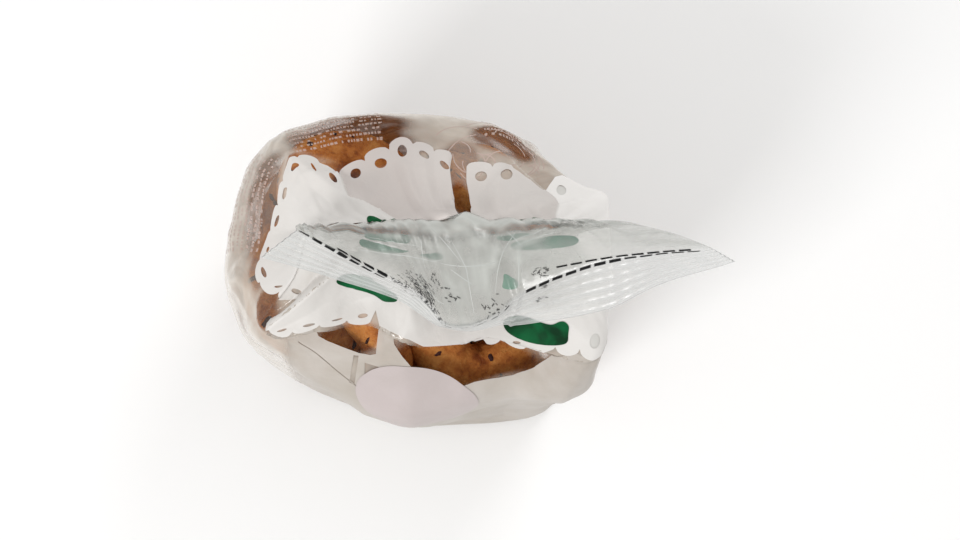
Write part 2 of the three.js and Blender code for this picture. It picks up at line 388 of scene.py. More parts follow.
def swell(u, height):
    """The outline's small departures from the smooth form, fading out at base and shoulder."""
    return read_off(SWELL, u) * smooth(height, 1, 10) * (1 - smooth(height, 188, 206))


def triangle_wave(x):
    return 1 - 2 * np.abs((x % 1.0) * 2 - 1)


def pleats(u):
    """Uneven gathers along the film's length, as a height for each place round the bag."""
    turn = 2 * np.pi * u
    drift = 0.9 * np.sin(3 * turn + 1.1) + 0.6 * np.sin(7 * turn + 0.4)
    wide = triangle_wave(13 * u + 0.3 * drift)
    narrow = triangle_wave(37 * u + 0.9 * drift)
    return 0.62 * wide + 0.38 * narrow


# ---------------------------------------------------------------------------- film surface
RING_POINTS = 480
BODY_T = np.concatenate(
    [np.linspace(0, 2, 8, endpoint=False), np.linspace(2, 6, 38, endpoint=False),
     np.linspace(6, NECK_T, 92)]
)
FAN_LENGTH = 36.0
FAN_ROWS = 28
SEAL_ROWS = 38
RIB_COUNT = 5.5
RIB_HEIGHT = 0.2
Z_FOLD_SHARE = 0.575


class Film:
    """The crumpled film as a grid of points over t (up the bag) and u (round it)."""

    def __init__(self):
        self.u = np.arange(RING_POINTS) / RING_POINTS
        self.angles = np.pi + 2 * np.pi * self.u
        self.smooth_body = np.array([body_ring(t, self.angles) for t in BODY_T])
        self.make_flat_scale()
        self.t = np.concatenate([
            BODY_T,
            NECK_T + np.arange(1, FAN_ROWS + 1) / FAN_ROWS,
            FOLD_T + np.arange(1, SEAL_ROWS + 1) / SEAL_ROWS,
        ])
        body = self.crumpled_body()
        fin = [self.fin_ring(t - NECK_T) for t in self.t[len(BODY_T):]]
        self.points = np.concatenate([body, np.array(fin)])
        self.normals = grid_normals(self.points)

    def crumpled_body(self):
        """The body's rows moved out by creases, swells, gathers and the named folds."""
        base = self.smooth_body
        normals = grid_normals(base)
        t = BODY_T[:, None]
        u = self.u[None, :]
        creases = crease_set(CREASE_COUNT, (-80, -70, 10), (85, 70, 215), (22, 60), (0.05, 0.16),
                             WRINKLE_SEED)
        free = smooth(base[..., 2], 3, 22)
        height = crease_height(base, creases) * free * (1 - 0.6 * smooth(t, 10, 11))
        height = height + swell(u, base[..., 2])
        gather = smooth(t, 7.8, 10.2) * (1 - smooth(t, 10.2, 11))
        height = height + 0.75 * gather * pleats(u)
        height = height + self.named_folds() * (1 - 0.5 * smooth(t, 10, 11))
        tied = smooth(t, 10.2, 11)
        side = np.sign(np.sin(self.angles))[None, :]
        share = np.where(u <= 0.5, 2 * u, 2 - 2 * u)
        height = height * (1 - 0.7 * tied) + tied * side * self.fan_height(0.0, share)
        return base + normals * height[..., None]

    def named_folds(self):
        x = self.x_at(self.u)[None, :] + 0 * self.up_mm[:, None]
        y = self.up_mm[:, None] + 0 * x
        height = 0 * x
        for line, heights, run, dip in OVERLAPS:
            height += overlap_height(x, y, self.flat(line), heights, run, dip, self.girth)
        for line, rise, half_width in RIDGES:
            height += ridge_height(x, y, self.flat(line), rise, half_width, self.girth)
        return height

    def fan_height(self, step, share):
        """Folds of the fan: ridges that run from the neck out to the seal."""
        ridges = 0.6 * triangle_wave(9.5 * share + 0.5 * np.sin(9 * share))
        ridges = ridges + 0.4 * triangle_wave(23 * share + np.sin(17 * share))
        fade = 1 - 0.82 * smooth(step, 0.45, 1.0)
        pinch = np.maximum(0, 1 - np.abs(share - 0.52) / 0.05) * (1 - smooth(step, 0.0, 0.55))
        z_fold = np.maximum(0, 1 - np.abs(share - Z_FOLD_SHARE) / 0.014) * smooth(step, 0.1, 0.5)
        return 0.75 * fade * ridges + 2.2 * pinch + 0.9 * z_fold

    def fin_ring(self, step):
        half = RING_POINTS // 2
        share = np.arange(half + 1) / half
        small = 0.02
        middle = fin_middle(step, share)
        up = fin_middle(min(step + small, 2), share) - fin_middle(step - small, share)
        across = np.gradient(middle, axis=0)
        normal = unit(np.cross(up, across))
        height = self.fan_height(step, share)
        if step > 1:
            height = height + RIB_HEIGHT * np.sin(2 * np.pi * RIB_COUNT * (step - 1))
        middle = middle + normal * height[:, None]
        thickness = FIN_THICKNESS / 2 + NECK_HALF_DEPTH * max(0, 1 - step) ** 3
        edge = np.sqrt(np.sin(np.pi * share))
        offset = normal * (thickness * edge)[:, None]
        front = middle - offset
        back = (middle + offset)[1:-1][::-1]
        return np.concatenate([front, back])

    def make_flat_scale(self):
        """Length round the shoulder and length up the film, for placing the print."""
        ring = self.smooth_body[np.argmin(np.abs(BODY_T - SHOULDER_T))]
        steps = np.linalg.norm(np.roll(ring, -1, 0) - ring, axis=-1)
        self.round_mm = np.concatenate([[0], np.cumsum(steps)])
        self.round_u = np.arange(RING_POINTS + 1) / RING_POINTS
        self.girth = self.round_mm[-1]
        up = np.linalg.norm(np.diff(self.smooth_body, axis=0), axis=-1).mean(1)
        self.up_mm = np.concatenate([[0], np.cumsum(up)])

    def flat(self, line):
        """Points given as (place round the bag, mm up the film), in mm both ways."""
        return [(float(self.x_at(u)), y) for u, y in line]

    def u_at(self, x):
        turns = np.floor(np.asarray(x, float) / self.girth)
        return turns + np.interp(np.asarray(x) - turns * self.girth, self.round_mm, self.round_u)

    def x_at(self, u):
        turns = np.floor(u)
        return turns * self.girth + np.interp(u - turns, self.round_u, self.round_mm)

    def t_at(self, y):
        past_neck = np.maximum(0, np.asarray(y, float) - self.up_mm[-1]) / FAN_LENGTH
        return np.interp(y, self.up_mm, BODY_T) + past_neck

    def sample(self, u, t, offset):
        """Points on the film at (u, t), moved out from it by offset."""
        u, t = np.asarray(u, float), np.asarray(t, float)
        row = np.interp(t, self.t, np.arange(len(self.t)))
        r = np.clip(row.astype(int), 0, len(self.t) - 2)
        fr = (row - r)[..., None]
        column = (u % 1.0) * RING_POINTS
        c = column.astype(int) % RING_POINTS
        fc = (column - np.floor(column))[..., None]
        c2 = (c + 1) % RING_POINTS
        r2 = r + 1

        def mix(grid):
            low = grid[r, c] * (1 - fc) + grid[r, c2] * fc
            high = grid[r2, c] * (1 - fc) + grid[r2, c2] * fc
            return low * (1 - fr) + high * fr

        return mix(self.points) + unit(mix(self.normals)) * offset


def grid_normals(grid):
    around = np.roll(grid, -1, 1) - np.roll(grid, 1, 1)
    up = np.gradient(grid, axis=0)
    return unit(np.cross(around, up))


# ---------------------------------------------------------------------------- meshes
def mesh_piece(name, points, faces, material):
    mesh = bpy.data.meshes.new(name)
    mesh.from_pydata((np.asarray(points) * MM).tolist(), [], faces)
    mesh.update()
    mesh.materials.append(material)
    mesh.polygons.foreach_set("use_smooth", [True] * len(mesh.polygons))
    piece = bpy.data.objects.new(name, mesh)
    bpy.context.scene.collection.objects.link(piece)
    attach(piece, "root")
    # The film, its print and the cookies together stand for the one CAD solid.
    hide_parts("bag")
    return piece


def film_faces(rows):
    """Quads round the film, a fan under the base and a strip along the seal's free edge."""
    faces = []
    n = RING_POINTS
    for r in range(rows - 1):
        for k in range(n):
            k2 = (k + 1) % n
            faces.append((r * n + k, r * n + k2, (r + 1) * n + k2, (r + 1) * n + k))
    base_middle = rows * n
    faces += [(base_middle, (k + 1) % n, k) for k in range(n)]
    top = (rows - 1) * n
    half = n // 2
    for k in range(half):
        front, front_next = top + k, top + k + 1
        back, back_next = top + (n - k) % n, top + n - k - 1
        corners = [front, front_next, back_next, back]
        faces.append(tuple(dict.fromkeys(corners)))
    return faces


def inside_loops(points, loops):
    """Even-odd rule: True where a point lies in the loops' area."""
    inside = np.zeros(len(points), bool)
    x, y = points[:, 0][:, None], points[:, 1][:, None]
    for loop in loops:
        a = np.asarray(loop, float)
        b = np.roll(a, -1, 0)
        crosses = (a[:, 1] > y) != (b[:, 1] > y)
        dy = np.where(b[:, 1] == a[:, 1], 1e-12, b[:, 1] - a[:, 1])
        at = a[:, 0] + (y - a[:, 1]) / dy * (b[:, 0] - a[:, 0])
        inside ^= (crosses & (x < at)).sum(1) % 2 == 1
    return inside


def fill_loops(loops, spacing):
    """Triangles over the area inside flat loops, with a grid of inner points."""
    points = np.concatenate([np.asarray(loop, float) for loop in loops])
    edges = []
    start = 0
    for loop in loops:
        n = len(loop)
        edges += [(start + k, start + (k + 1) % n) for k in range(n)]
        start += n
    low, high = points.min(0), points.max(0)
    gx, gy = np.meshgrid(np.arange(low[0], high[0], spacing),
                         np.arange(low[1], high[1], spacing * 0.87))
    gx = gx + (np.arange(len(gx)) % 2 * spacing / 2)[:, None]
    inner = np.stack([gx.ravel(), gy.ravel()], -1)
    inner = inner[inside_loops(inner, loops)]
    keep = np.ones(len(inner), bool)
    for chunk in np.array_split(points, max(1, len(points) // 400)):
        distance = ((inner[:, None] - chunk[None]) ** 2).sum(-1).min(1)
        keep &= distance > (0.45 * spacing) ** 2
    points = np.concatenate([points, inner[keep]])
    verts, _, faces, _, _, _ = delaunay_2d_cdt(
        [Vector(p) for p in points], edges, [], 0, 1e-6)
    verts = np.array([tuple(v) for v in verts])
    faces = np.array(faces)
    middle = verts[faces].mean(1)
    faces = faces[inside_loops(middle, loops)]
    used = np.unique(faces)
    index = np.full(len(verts), -1)
    index[used] = np.arange(len(used))
    return verts[used], index[faces]


def print_piece(name, loops, spacing, offset, material):
    """A printed field on the film's body. Loops are in flat mm: round the bag, then up it."""
    flat_points, faces = fill_loops(loops, spacing)
    u = film.u_at(flat_points[:, 0])
    points = film.sample(u, film.t_at(flat_points[:, 1]), offset)
    return mesh_piece(name, points, faces.tolist(), material), u, flat_points[:, 1]


def add_values(piece, name, values):
    layer = piece.data.attributes.new(name, "FLOAT", "POINT")
    layer.data.foreach_set("value", np.asarray(values).astype(np.float32))


def mesh_of_parts(name, parts, material):
    """One piece from several (points, faces)."""
    points, faces, start = [], [], 0
    for p, f in parts:
        points.append(np.asarray(p))
        faces += [tuple(int(i) + start for i in face) for face in f]
        start += len(p)
    mesh_piece(name, np.concatenate(points), faces, material)


# ---------------------------------------------------------------------------- materials
class Nodes:
    """Short calls for building a material's node tree."""

    def __init__(self, name):
        self.material = bpy.data.materials.new(name)
        self.material.use_nodes = True
        self.tree = self.material.node_tree
        self.tree.nodes.clear()
        self.output = self.tree.nodes.new("ShaderNodeOutputMaterial")

    def add(self, kind, inputs=(), **settings):
        node = self.tree.nodes.new("ShaderNode" + kind)
        for key, value in settings.items():
            setattr(node, key, value)
        for key, value in dict(inputs).items():
            self.set(node, key, value)
        return node

    def set(self, node, key, value):
        socket = node.inputs[key]
        if isinstance(value, bpy.types.NodeSocket):
            self.tree.links.new(value, socket)
        else:
            socket.default_value = value

    def math(self, operation, a, b=0.0, clamp=False):
        node = self.add("Math", {0: a, 1: b}, operation=operation, use_clamp=clamp)
        return node.outputs[0]

    def noise(self, scale, detail=3.0, roughness=0.5, distortion=0.0, vector=None):
        inputs = {"Scale": scale, "Detail": detail, "Roughness": roughness,
                  "Distortion": distortion}
        inputs["Vector"] = vector or self.add("TexCoord").outputs["Object"]
        return self.add("TexNoise", inputs).outputs["Fac"]

    def ramp(self, factor, *stops):
        node = self.add("ValToRGB", {"Fac": factor})
        elements = node.color_ramp.elements
        while len(elements) < len(stops):
            elements.new(0.5)
        for element, (position, colour) in zip(elements, stops):
            element.position = position
            element.color = (*colour, 1) if len(colour) == 3 else colour
        return node.outputs["Color"]

    def range(self, value, low, high, out_low, out_high):
        node = self.add("MapRange", {"Value": value, "From Min": low, "From Max": high,
                                     "To Min": out_low, "To Max": out_high})
        return node.outputs["Result"]

    def bump(self, height, strength, distance, normal=None):
        inputs = {"Height": height, "Strength": strength, "Distance": distance}
        if normal:
            inputs["Normal"] = normal
        return self.add("Bump", inputs).outputs["Normal"]

    def shader(self, **inputs):
        named = {key.replace("_", " "): value for key, value in inputs.items()}
        node = self.add("BsdfPrincipled", named)
        self.tree.links.new(node.outputs[0], self.output.inputs["Surface"])
        return self.material


def film_material():
    """Clear crinkled film: hazier where it stands off the contents and where seen edge on."""
    n = Nodes("film")
    haze = n.add("Attribute", attribute_name="haze").outputs["Fac"]
    fin = n.add("Attribute", attribute_name="fin").outputs["Fac"]
    facing = n.add("LayerWeight", {"Blend": 0.5}).outputs["Facing"]
    edge = n.math("MULTIPLY", n.math("POWER", facing, 2.4), n.range(haze, 0.0, 0.4, 0.06, 0.6))
    crinkle = n.noise(150, 2.2, 0.5, 1.0)
    streak = n.noise(55, 2.5, 0.5, 1.6)
    base = n.math("MULTIPLY", haze, n.range(streak, 0.35, 0.7, 0.82, 1.2))
    alpha = n.math("ADD", base, edge, clamp=True)
    tone = n.ramp(n.math("MULTIPLY", fin, 0.5), (0.15, (0.59, 0.53, 0.46)),
                  (0.45, (0.52, 0.53, 0.50)), (0.60, (0.52, 0.53, 0.50)),
                  (0.90, (0.66, 0.67, 0.66)))
    height = n.math("ADD", n.math("MULTIPLY", crinkle, 0.5), streak)
    # The seal's pressed ribs are smooth, so the crinkles stop there.
    normal = n.bump(height, n.range(fin, 1.1, 1.6, 0.34, 0.10), 0.0012)
    return n.shader(Base_Color=tone, Roughness=0.14, IOR=1.5, Specular_IOR_Level=0.55,
                    Coat_Weight=0.12, Coat_Roughness=0.05, Alpha=alpha, Normal=normal)


def ink_material(name, colour, shade, alpha, roughness, gloss, patches=35):
    """Flat ink on the film, with the film's faint unevenness."""
    n = Nodes(name)
    patch = n.noise(patches, 3, 0.55, 0.5)
    tone = n.ramp(patch, (0.38, shade), (0.60, colour))
    normal = n.bump(n.noise(120, 4, 0.6, 1.0), 0.35, 0.0009)
    return n.shader(Base_Color=tone, Roughness=roughness, Specular_IOR_Level=gloss, Alpha=alpha,
                    Normal=normal)


def white_ink_material():
    """White ink, brighter where the film is doubled over and greyer where it is single; its tone
    also holds painted shade beside folds and painted light and shade on the ear's facets.
    """
    n = Nodes("white_ink")
    layers_and_painted_shade = n.add("Attribute", attribute_name="layers_and_painted_shade").outputs["Fac"]
    patch = n.range(n.noise(35, 3, 0.55, 0.5), 0.3, 0.7, -0.05, 0.05)
    tone = n.ramp(n.math("ADD", layers_and_painted_shade, patch, clamp=True),
                  (0.0, (0.58, 0.52, 0.495)), (0.32, (0.665, 0.64, 0.612)),
                  (1.0, (0.93, 0.91, 0.89)))
    normal = n.bump(n.noise(120, 4, 0.6, 1.0), 0.3, 0.0009)
    return n.shader(Base_Color=tone, Roughness=0.42, Specular_IOR_Level=0.3, Alpha=0.96,
                    Normal=normal)


def panel_material():
    """The front panel's thinner white ink, which fades out towards the bag's left side."""
    n = Nodes("panel_ink")
    cover = n.add("Attribute", attribute_name="cover").outputs["Fac"]
    patch = n.noise(28, 4, 0.6, 0.8)
    tone = n.ramp(patch, (0.33, (0.52, 0.47, 0.415)), (0.66, (0.62, 0.575, 0.53)))
    normal = n.bump(n.noise(110, 4, 0.6, 1.0), 0.35, 0.0009)
    return n.shader(Base_Color=tone, Roughness=0.42, Specular_IOR_Level=0.3,
                    Alpha=n.math("MULTIPLY", cover, 0.84), Normal=normal)


def cookie_material():
    """Golden brown dough: darker raised patches, fine cracks and crumb."""
    n = Nodes("cookie")
    patch = n.noise(60, 4, 0.6, 0.6)
    fine = n.noise(520, 5, 0.65)
    mottle = n.noise(230, 4, 0.6, 0.4)
    tone = n.math("ADD", n.math("MULTIPLY", patch, 0.45), n.math("MULTIPLY", mottle, 0.35))
    tone = n.math("ADD", tone, n.math("MULTIPLY", fine, 0.2))
    colour = n.ramp(tone, (0.36, (0.25, 0.060, 0.012)), (0.48, (0.50, 0.165, 0.034)),
                    (0.60, (0.68, 0.29, 0.075)))
    pit = n.range(n.noise(900, 3, 0.6), 0.30, 0.42, 0.0, 1.0)
    height = n.math("ADD", n.math("MULTIPLY", mottle, 1.0), n.math("MULTIPLY", fine, 0.8))
    height = n.math("ADD", height, n.math("MULTIPLY", pit, 0.25))
    normal = n.bump(height, 0.7, 0.0011)
    return n.shader(Base_Color=colour, Roughness=0.75, Specular_IOR_Level=0.25, Normal=normal)


def chocolate_material():
    n = Nodes("chocolate")
    tone = n.ramp(n.noise(300, 3), (0.35, (0.030, 0.009, 0.008)), (0.7, (0.075, 0.024, 0.020)))
    normal = n.bump(n.noise(700, 4), 0.5, 0.0006)
    return n.shader(Base_Color=tone, Roughness=0.6, Specular_IOR_Level=0.2, Normal=normal)


FILM = film_material()
WHITE_INK = white_ink_material()
LABEL_INK = ink_material("label_ink", (0.54, 0.475, 0.465), (0.51, 0.45, 0.435), 0.97, 0.45, 0.3)
PANEL_INK = panel_material()
# The green ink's darker noise patches are painted shade for the ribbon's folds, scattered at
# random.
GREEN_INK = ink_material("green_ink", (0.0, 0.105, 0.030), (0.0, 0.030, 0.008), 0.98, 0.5, 0.12, 85)
BLACK_INK = ink_material("black_ink", (0.009, 0.009, 0.01), (0.014, 0.014, 0.014), 1.0, 0.6, 0.1)
TEAL_INK = ink_material("green_ink_inside", (0.05, 0.24, 0.15), (0.01, 0.12, 0.07), 0.88, 0.5, 0.2)
SMUDGE_INK = ink_material(
    "smudge_ink", (0.05, 0.05, 0.052), (0.012, 0.012, 0.012), 0.72, 0.6, 0.1, 300)
# Painted shade: a greyer copy of the white ink for discs under eyelets, the white film behind them
# in shade.
EYELET_SHADE_INK = ink_material("eyelet_shade_ink", (0.70, 0.69, 0.66), (0.66, 0.65, 0.62), 0.90, 0.45, 0.3)
# Painted highlight: a pale, half-clear ink for thin strips along the fin's creases.
CREASE_PAINTED_HIGHLIGHT = ink_material("crease_painted_highlight", (0.86, 0.88, 0.86), (0.72, 0.75, 0.73), 0.42, 0.25, 0.6)
LINE_INK = ink_material("line_ink", (0.66, 0.53, 0.48), (0.55, 0.42, 0.37), 0.60, 0.45, 0.3)
COOKIE = cookie_material()
CHOCOLATE = chocolate_material()

# ---------------------------------------------------------------------------- film piece
film = Film()

STAND_OFF_HAZE = 0.66
TOUCHING_HAZE = 0.30
FIN_HAZE = (0.27, 0.21)
# Places where the film lies tight on the contents and is clear:
# place round the bag, mm up the film, half sizes, and how much of the haze goes.
CLEAR_PATCHES = [
    (0.291, 186, 0.070, 11.0, 1.0),
    (0.186, 194, 0.036, 8.0, 0.97),
    (0.078, 196, 0.036, 9.5, 0.85),
    (0.805, 184, 0.062, 18.0, 1.0),
    (0.785, 197, 0.048, 9.5, 1.0),
    (0.868, 198, 0.022, 7.0, 0.9),
    (0.935, 183, 0.062, 12.0, 0.74),
    (0.000, 190, 0.045, 8.0, 0.65),
    (0.671, 190, 0.028, 8.5, 0.95),
    (0.7075, 226, 0.014, 15.0, 1.0),
    (0.7065, 203, 0.016, 11.0, 0.55),
    (0.845, 206, 0.050, 8.0, 0.9),
]


def contents_distance(points, balls, radius):
    """How far each film point is from the nearest of the balls that fill the cookies."""
    tree = search_tree(balls)
    return np.array([tree.find(p)[2] for p in points]) - radius


FIN_HIGHLIGHT_SEED = 17
FIN_HIGHLIGHT_COUNT = 60
# The fin's length from end to end, in mm, for shapes given as shares along it.
FIN_WIDTH = 160.0
# Where the fan ends and the seal starts, as t.
SEAL_START = (11.97, 12.03)
# Painted highlights along broad folds in the fan, as extra haze: strength, half width in mm, then
# points as share along the fin and mm out from the neck.
FAN_FOLD_HIGHLIGHTS = [
    (0.22, 2.0, [(0.558, 21.9), (0.492, 29.6)]), (0.16, 2.6, [(0.538, 24.4), (0.446, 28.3)]),
    (0.22, 1.6, [(0.579, 14.1), (0.558, 21.9), (0.542, 25.7)]),
    (0.26, 2.2, [(0.546, 14.1), (0.533, 18.0), (0.542, 20.6)]),
    (0.20, 1.3, [(0.604, 24.4), (0.579, 34.7)]), (0.16, 1.6, [(0.433, 25.7), (0.408, 33.4)]),
    (0.18, 1.4, [(0.188, 29.6), (0.312, 25.7), (0.438, 20.6)]),
    (0.16, 1.8, [(0.587, 23.1), (0.658, 21.9), (0.712, 21.9)]),
    (0.14, 2.4, [(0.39, 13.0), (0.43, 17.0), (0.50, 24.0)]),
]


def line_distance(x, y, line):
    """Distance of points from a bent line."""
    nearest = np.full(np.shape(x), 1e9)
    for (ax, ay), (bx, by) in zip(line[:-1], line[1:]):
        dx, dy = bx - ax, by - ay
        along = np.clip(((x - ax) * dx + (y - ay) * dy) / (dx * dx + dy * dy), 0, 1)
        nearest = np.minimum(nearest, np.hypot(x - ax - along * dx, y - ay - along * dy))
    return nearest


def fin_painted_highlights(share, step):
    """Painted highlights: brighter folds and streaks where the fin's film is drawn tight, as a
    share of full haze.
    """
    rng = np.random.default_rng(FIN_HIGHLIGHT_SEED)
    x, y = share * FIN_WIDTH, step * FAN_LENGTH
    total = 0 * x
    for strength, half_width, line in FAN_FOLD_HIGHLIGHTS:
        away = line_distance(x, y, [(q * FIN_WIDTH, out) for q, out in line])
        total += strength * np.exp(-((away / half_width) ** 2))
    for _ in range(FIN_HIGHLIGHT_COUNT):
        cx, cy = rng.uniform(0, FIN_WIDTH), rng.uniform(0, 1.1 * FAN_LENGTH)
        middle = abs(cx / FIN_WIDTH - 0.5) < 0.16
        angle = rng.normal(math.pi / 2, 0.5) if middle else rng.normal(0.12, 0.22)
        long, wide = rng.uniform(8, 42), rng.uniform(1.1, 2.2)
        along = (x - cx) * math.cos(angle) + (y - cy) * math.sin(angle)
        across = (y - cy) * math.cos(angle) - (x - cx) * math.sin(angle)
        most = 0.16 if middle else 0.20
        total += rng.uniform(0.03, most) * np.exp(-((along / long) ** 2) - (across / wide) ** 2)
    return total * (1 - smooth(step, 0.98, 1.02))


def film_haze(balls):
    """How opaque the film is at each point: body rows first, then the fin's."""
    body = film.points[: len(BODY_T)]
    gap = contents_distance(body.reshape(-1, 3), balls, COOKIE_THICKNESS / 2)
    gap = gap.reshape(body.shape[:2])
    haze = TOUCHING_HAZE + (STAND_OFF_HAZE - TOUCHING_HAZE) * smooth(gap, 2.0, 8.0)
    y = film.up_mm[:, None]
    for u0, y0, du, dy, share in CLEAR_PATCHES:
        across = (film.u[None, :] - u0 + 0.5) % 1.0 - 0.5
        away = np.sqrt((across / du) ** 2 + ((y - y0) / dy) ** 2)
        haze = haze * (1 - share * (1 - smooth(away, 0.75, 1.15)))
    seal = film.t[len(BODY_T):, None]
    share = np.where(film.u <= 0.5, 2 * film.u, 2 - 2 * film.u)[None, :]
    plain = FIN_HAZE[0] + (FIN_HAZE[1] - FIN_HAZE[0]) * smooth(share, 0.5, 0.68)
    haze = haze + (plain - haze) * smooth(BODY_T, 10.7, 11.0)[:, None]
    share = share + 0 * seal
    # Painted highlights: the fin's film is made hazier, and so whiter, along its bright folds and
    # streaks.
    fin = plain + 0.10 * smooth(seal, *SEAL_START) + fin_painted_highlights(share, seal - NECK_T)
    ribs = np.sin(2 * np.pi * RIB_COUNT * (seal - FOLD_T))
    fin = fin + 0.09 * ribs * smooth(seal, FOLD_T, FOLD_T + 0.08)
    # The film is gathered into many layers just above the neck.
    gathered = smooth(seal, 11.0, 11.08) * (1 - smooth(seal, 11.24, 11.40))
    fin = fin + 0.50 * gathered * (film.u > 0.5)[None, :]
    return np.concatenate([haze, fin])


def make_film(balls):
    rows = len(film.t)
    points = np.concatenate([film.points.reshape(-1, 3), [[0, 0, 0]]])
    piece = mesh_piece("film", points, film_faces(rows), FILM)
    in_fin = smooth(film.t, 9.5, 10.8) + smooth(film.t, *SEAL_START)
    in_fin = in_fin[:, None] + 0 * film.u[None, :]
    add_values(piece, "haze", np.append(film_haze(balls).ravel(), 0.3))
    add_values(piece, "fin", np.append(in_fin.ravel(), 0.0))


# ---------------------------------------------------------------------------- printed lace
# How far each print lies off the film, in mm, so that no two lie in one plane.
LACE_LIFT = 0.42
FAINT_LIFT = 0.2
PANEL_LIFT = 0.4
LABEL_LIFT = 0.7
RIBBON_LIFT = 0.65
INSIDE_LIFT = -0.3
MARK_LIFT = 0.12
BAR_LIFT = 0.15
ARC_LIFT = 0.1
# How far the lace runs on past the neck, onto the fin: in front, and behind.
LACE_ON_FIN = (12.0, 1.0)
# The lace's lower edge, round the bag from the seam: place, mm up the film, and how deep the
# scallop from there to the next point is. Some scallops are folded away or foreshortened.
LACE = [
    (0.7125, 200.3, 1.8), (0.7271, 198.7, 2.6), (0.7438, 195.7, 4.2), (0.7688, 197.9, 3.5),
    (0.7979, 201.1, 2.8), (0.8313, 206.2, 0.0), (0.8330, 202.8, 0.0), (0.8375, 200.3, 0.0),
    (0.8438, 198.7, 2.8), (0.8604, 195.7, 2.0), (0.8938, 195.0, 1.2), (0.9229, 193.7, 2.0),
    (0.9563, 188.9, 1.4), (0.9958, 187.7, 2.4), (1.0312, 191.3, 1.0), (1.0729, 205.4, 1.6),
    (1.1167, 208.0, 0.0), (1.1110, 202.8, 0.0), (1.1042, 197.9, 0.0), (1.1021, 193.1, 0.0),
    (1.1083, 196.4, 1.9), (1.1313, 198.7, 1.0), (1.1500, 201.1, 1.2), (1.1750, 201.9, 1.2),
    (1.2021, 201.1, 0.0), (1.2062, 205.4, 0.0), (1.2146, 199.5, 0.0), (1.2292, 197.9, 0.0),
    (1.2542, 196.4, 0.0), (1.2667, 194.4, 0.0), (1.2979, 194.4, 0.0), (1.3104, 193.1, 0.0),
    (1.3167, 193.7, 2.6), (1.3292, 195.0, 2.6), (1.3417, 192.5, 1.0), (1.3542, 196.4, 2.6),
    (1.3670, 196.2, 2.8), (1.3880, 192.0, 3.0), (1.4100, 187.5, 3.0), (1.4360, 184.5, 3.0),
    (1.4615, 183.5, 3.0), (1.4890, 183.5, 3.0), (1.5165, 184.0, 3.0), (1.5440, 186.5, 3.0),
    (1.5700, 191.5, 2.0), (1.5958, 194.7, 0.0), (1.6040, 193.0, 0.0), (1.6104, 192.5, 0.0),
    (1.6200, 194.3, 0.0), (1.6271, 198.7, 0.0), (1.6292, 204.5, 0.0), (1.6310, 212.5, 0.0),
    (1.6354, 211.3, 0.0), (1.6458, 207.1, 0.0), (1.6562, 204.5, 0.0), (1.6620, 203.6, 2.2),
    (1.6792, 205.4, 2.2), (1.7000, 205.4, 0.0), (1.7000, 212.2, 0.0), (1.6979, 219.9, 0.0),
    (1.6979, 226.2, 0.0), (1.7063, 234.2, 0.0),
]
# The lace's other edge at the seam, from the neck down.
LACE_START = [(0.7250, 236.6), (0.7188, 230.1), (0.7146, 222.4), (0.7146, 207.1)]
# Eyelets: place, mm up the film, long and short sizes in mm, tilt in degrees. The narrow ones
# are squeezed by creases.
EYELETS = [
    (0.7188, 205.4, 5.2, 2.3, -55), (0.7354, 201.1, 4.7, 3.0, -51), (0.7542, 199.5, 6.2, 4.0, 88),
    (0.7812, 203.6, 5.1, 4.4, 0), (0.8125, 205.4, 5.0, 3.7, 28), (0.8396, 208.0, 6.0, 2.7, 88),
    (0.8521, 201.9, 5.2, 1.1, 85), (0.8708, 198.7, 5.5, 2.3, -17), (0.9042, 197.9, 5.3, 2.3, -20),
    (0.9417, 192.9, 5.8, 1.9, -37), (0.9833, 191.3, 2.1, 1.9, 0), (1.0167, 192.8, 6.0, 1.9, 44),
    (1.0604, 204.4, 6.5, 0.9, 54), (1.1104, 209.8, 5.6, 1.7, -3), (1.1208, 197.9, 3.7, 0.8, 37),
    (1.1417, 201.3, 4.7, 1.0, 8), (1.1646, 202.4, 4.3, 0.6, 6), (1.1917, 203.4, 4.0, 1.5, 5),
    (1.3375, 194.8, 3.1, 0.8, 4), (1.3770, 198.2, 4.8, 4.0, 45), (1.3990, 192.2, 4.4, 4.2, 0),
    (1.4230, 189.2, 4.6, 4.4, 0), (1.4490, 188.0, 4.8, 4.6, 0), (1.4750, 187.8, 4.8, 4.6, 0),
    (1.5030, 188.0, 4.8, 4.6, 0), (1.5300, 189.4, 4.8, 4.6, 0), (1.5570, 191.4, 4.0, 4.0, 0),
    (1.6167, 205.4, 7.5, 4.2, -73), (1.6667, 208.0, 6.0, 4.4, 63), (1.6875, 209.7, 5.1, 4.5, 2),
]
# Eyelets that show only white film behind them, stood in for by grey discs of painted shade.
FAINT_EYELETS = [(0.3770, 198.2), (0.6167, 205.4)]
# How doubled up the lace is, with painted shade and painted light mixed in, round the bag from its
# end at LACE_END: 0 is one bare layer or deep painted shade, 1 looks whitest. Set to the lace's
# tones in the photograph.
LACE_END = 0.607
LACE_LAYERS_AND_SHADE = [
    (0.607, 0.18), (0.700, 0.20), (0.725, 0.16), (0.760, 0.08), (0.845, 0.12), (0.8451, 0.42),
    (0.950, 0.40), (1.000, 0.32), (1.050, 0.42), (1.110, 0.42), (1.125, 0.34), (1.180, 0.38),
    (1.230, 0.30), (1.330, 0.30), (1.360, 0.50), (1.430, 0.70), (1.560, 0.86), (1.607, 0.80),
]
# Folds where the lace's tone steps, as painted shade on one side and painted light on the other:
# place round the bag by mm up the film, and the tone on each side.
LACE_SHADE_STEPS = [
    ([(204, 0.8300), (210, 0.8315), (220, 0.8355), (223.5, 0.8225), (228, 0.8075), (236, 0.8035)],
     (0.77, 0.845), 0.10, 0.43),
    ([(199.5, 0.6625), (204.5, 0.6458), (213, 0.6250), (219, 0.6070), (236, 0.5900)],
     (0.59, 0.670), 0.78, 0.20),
]


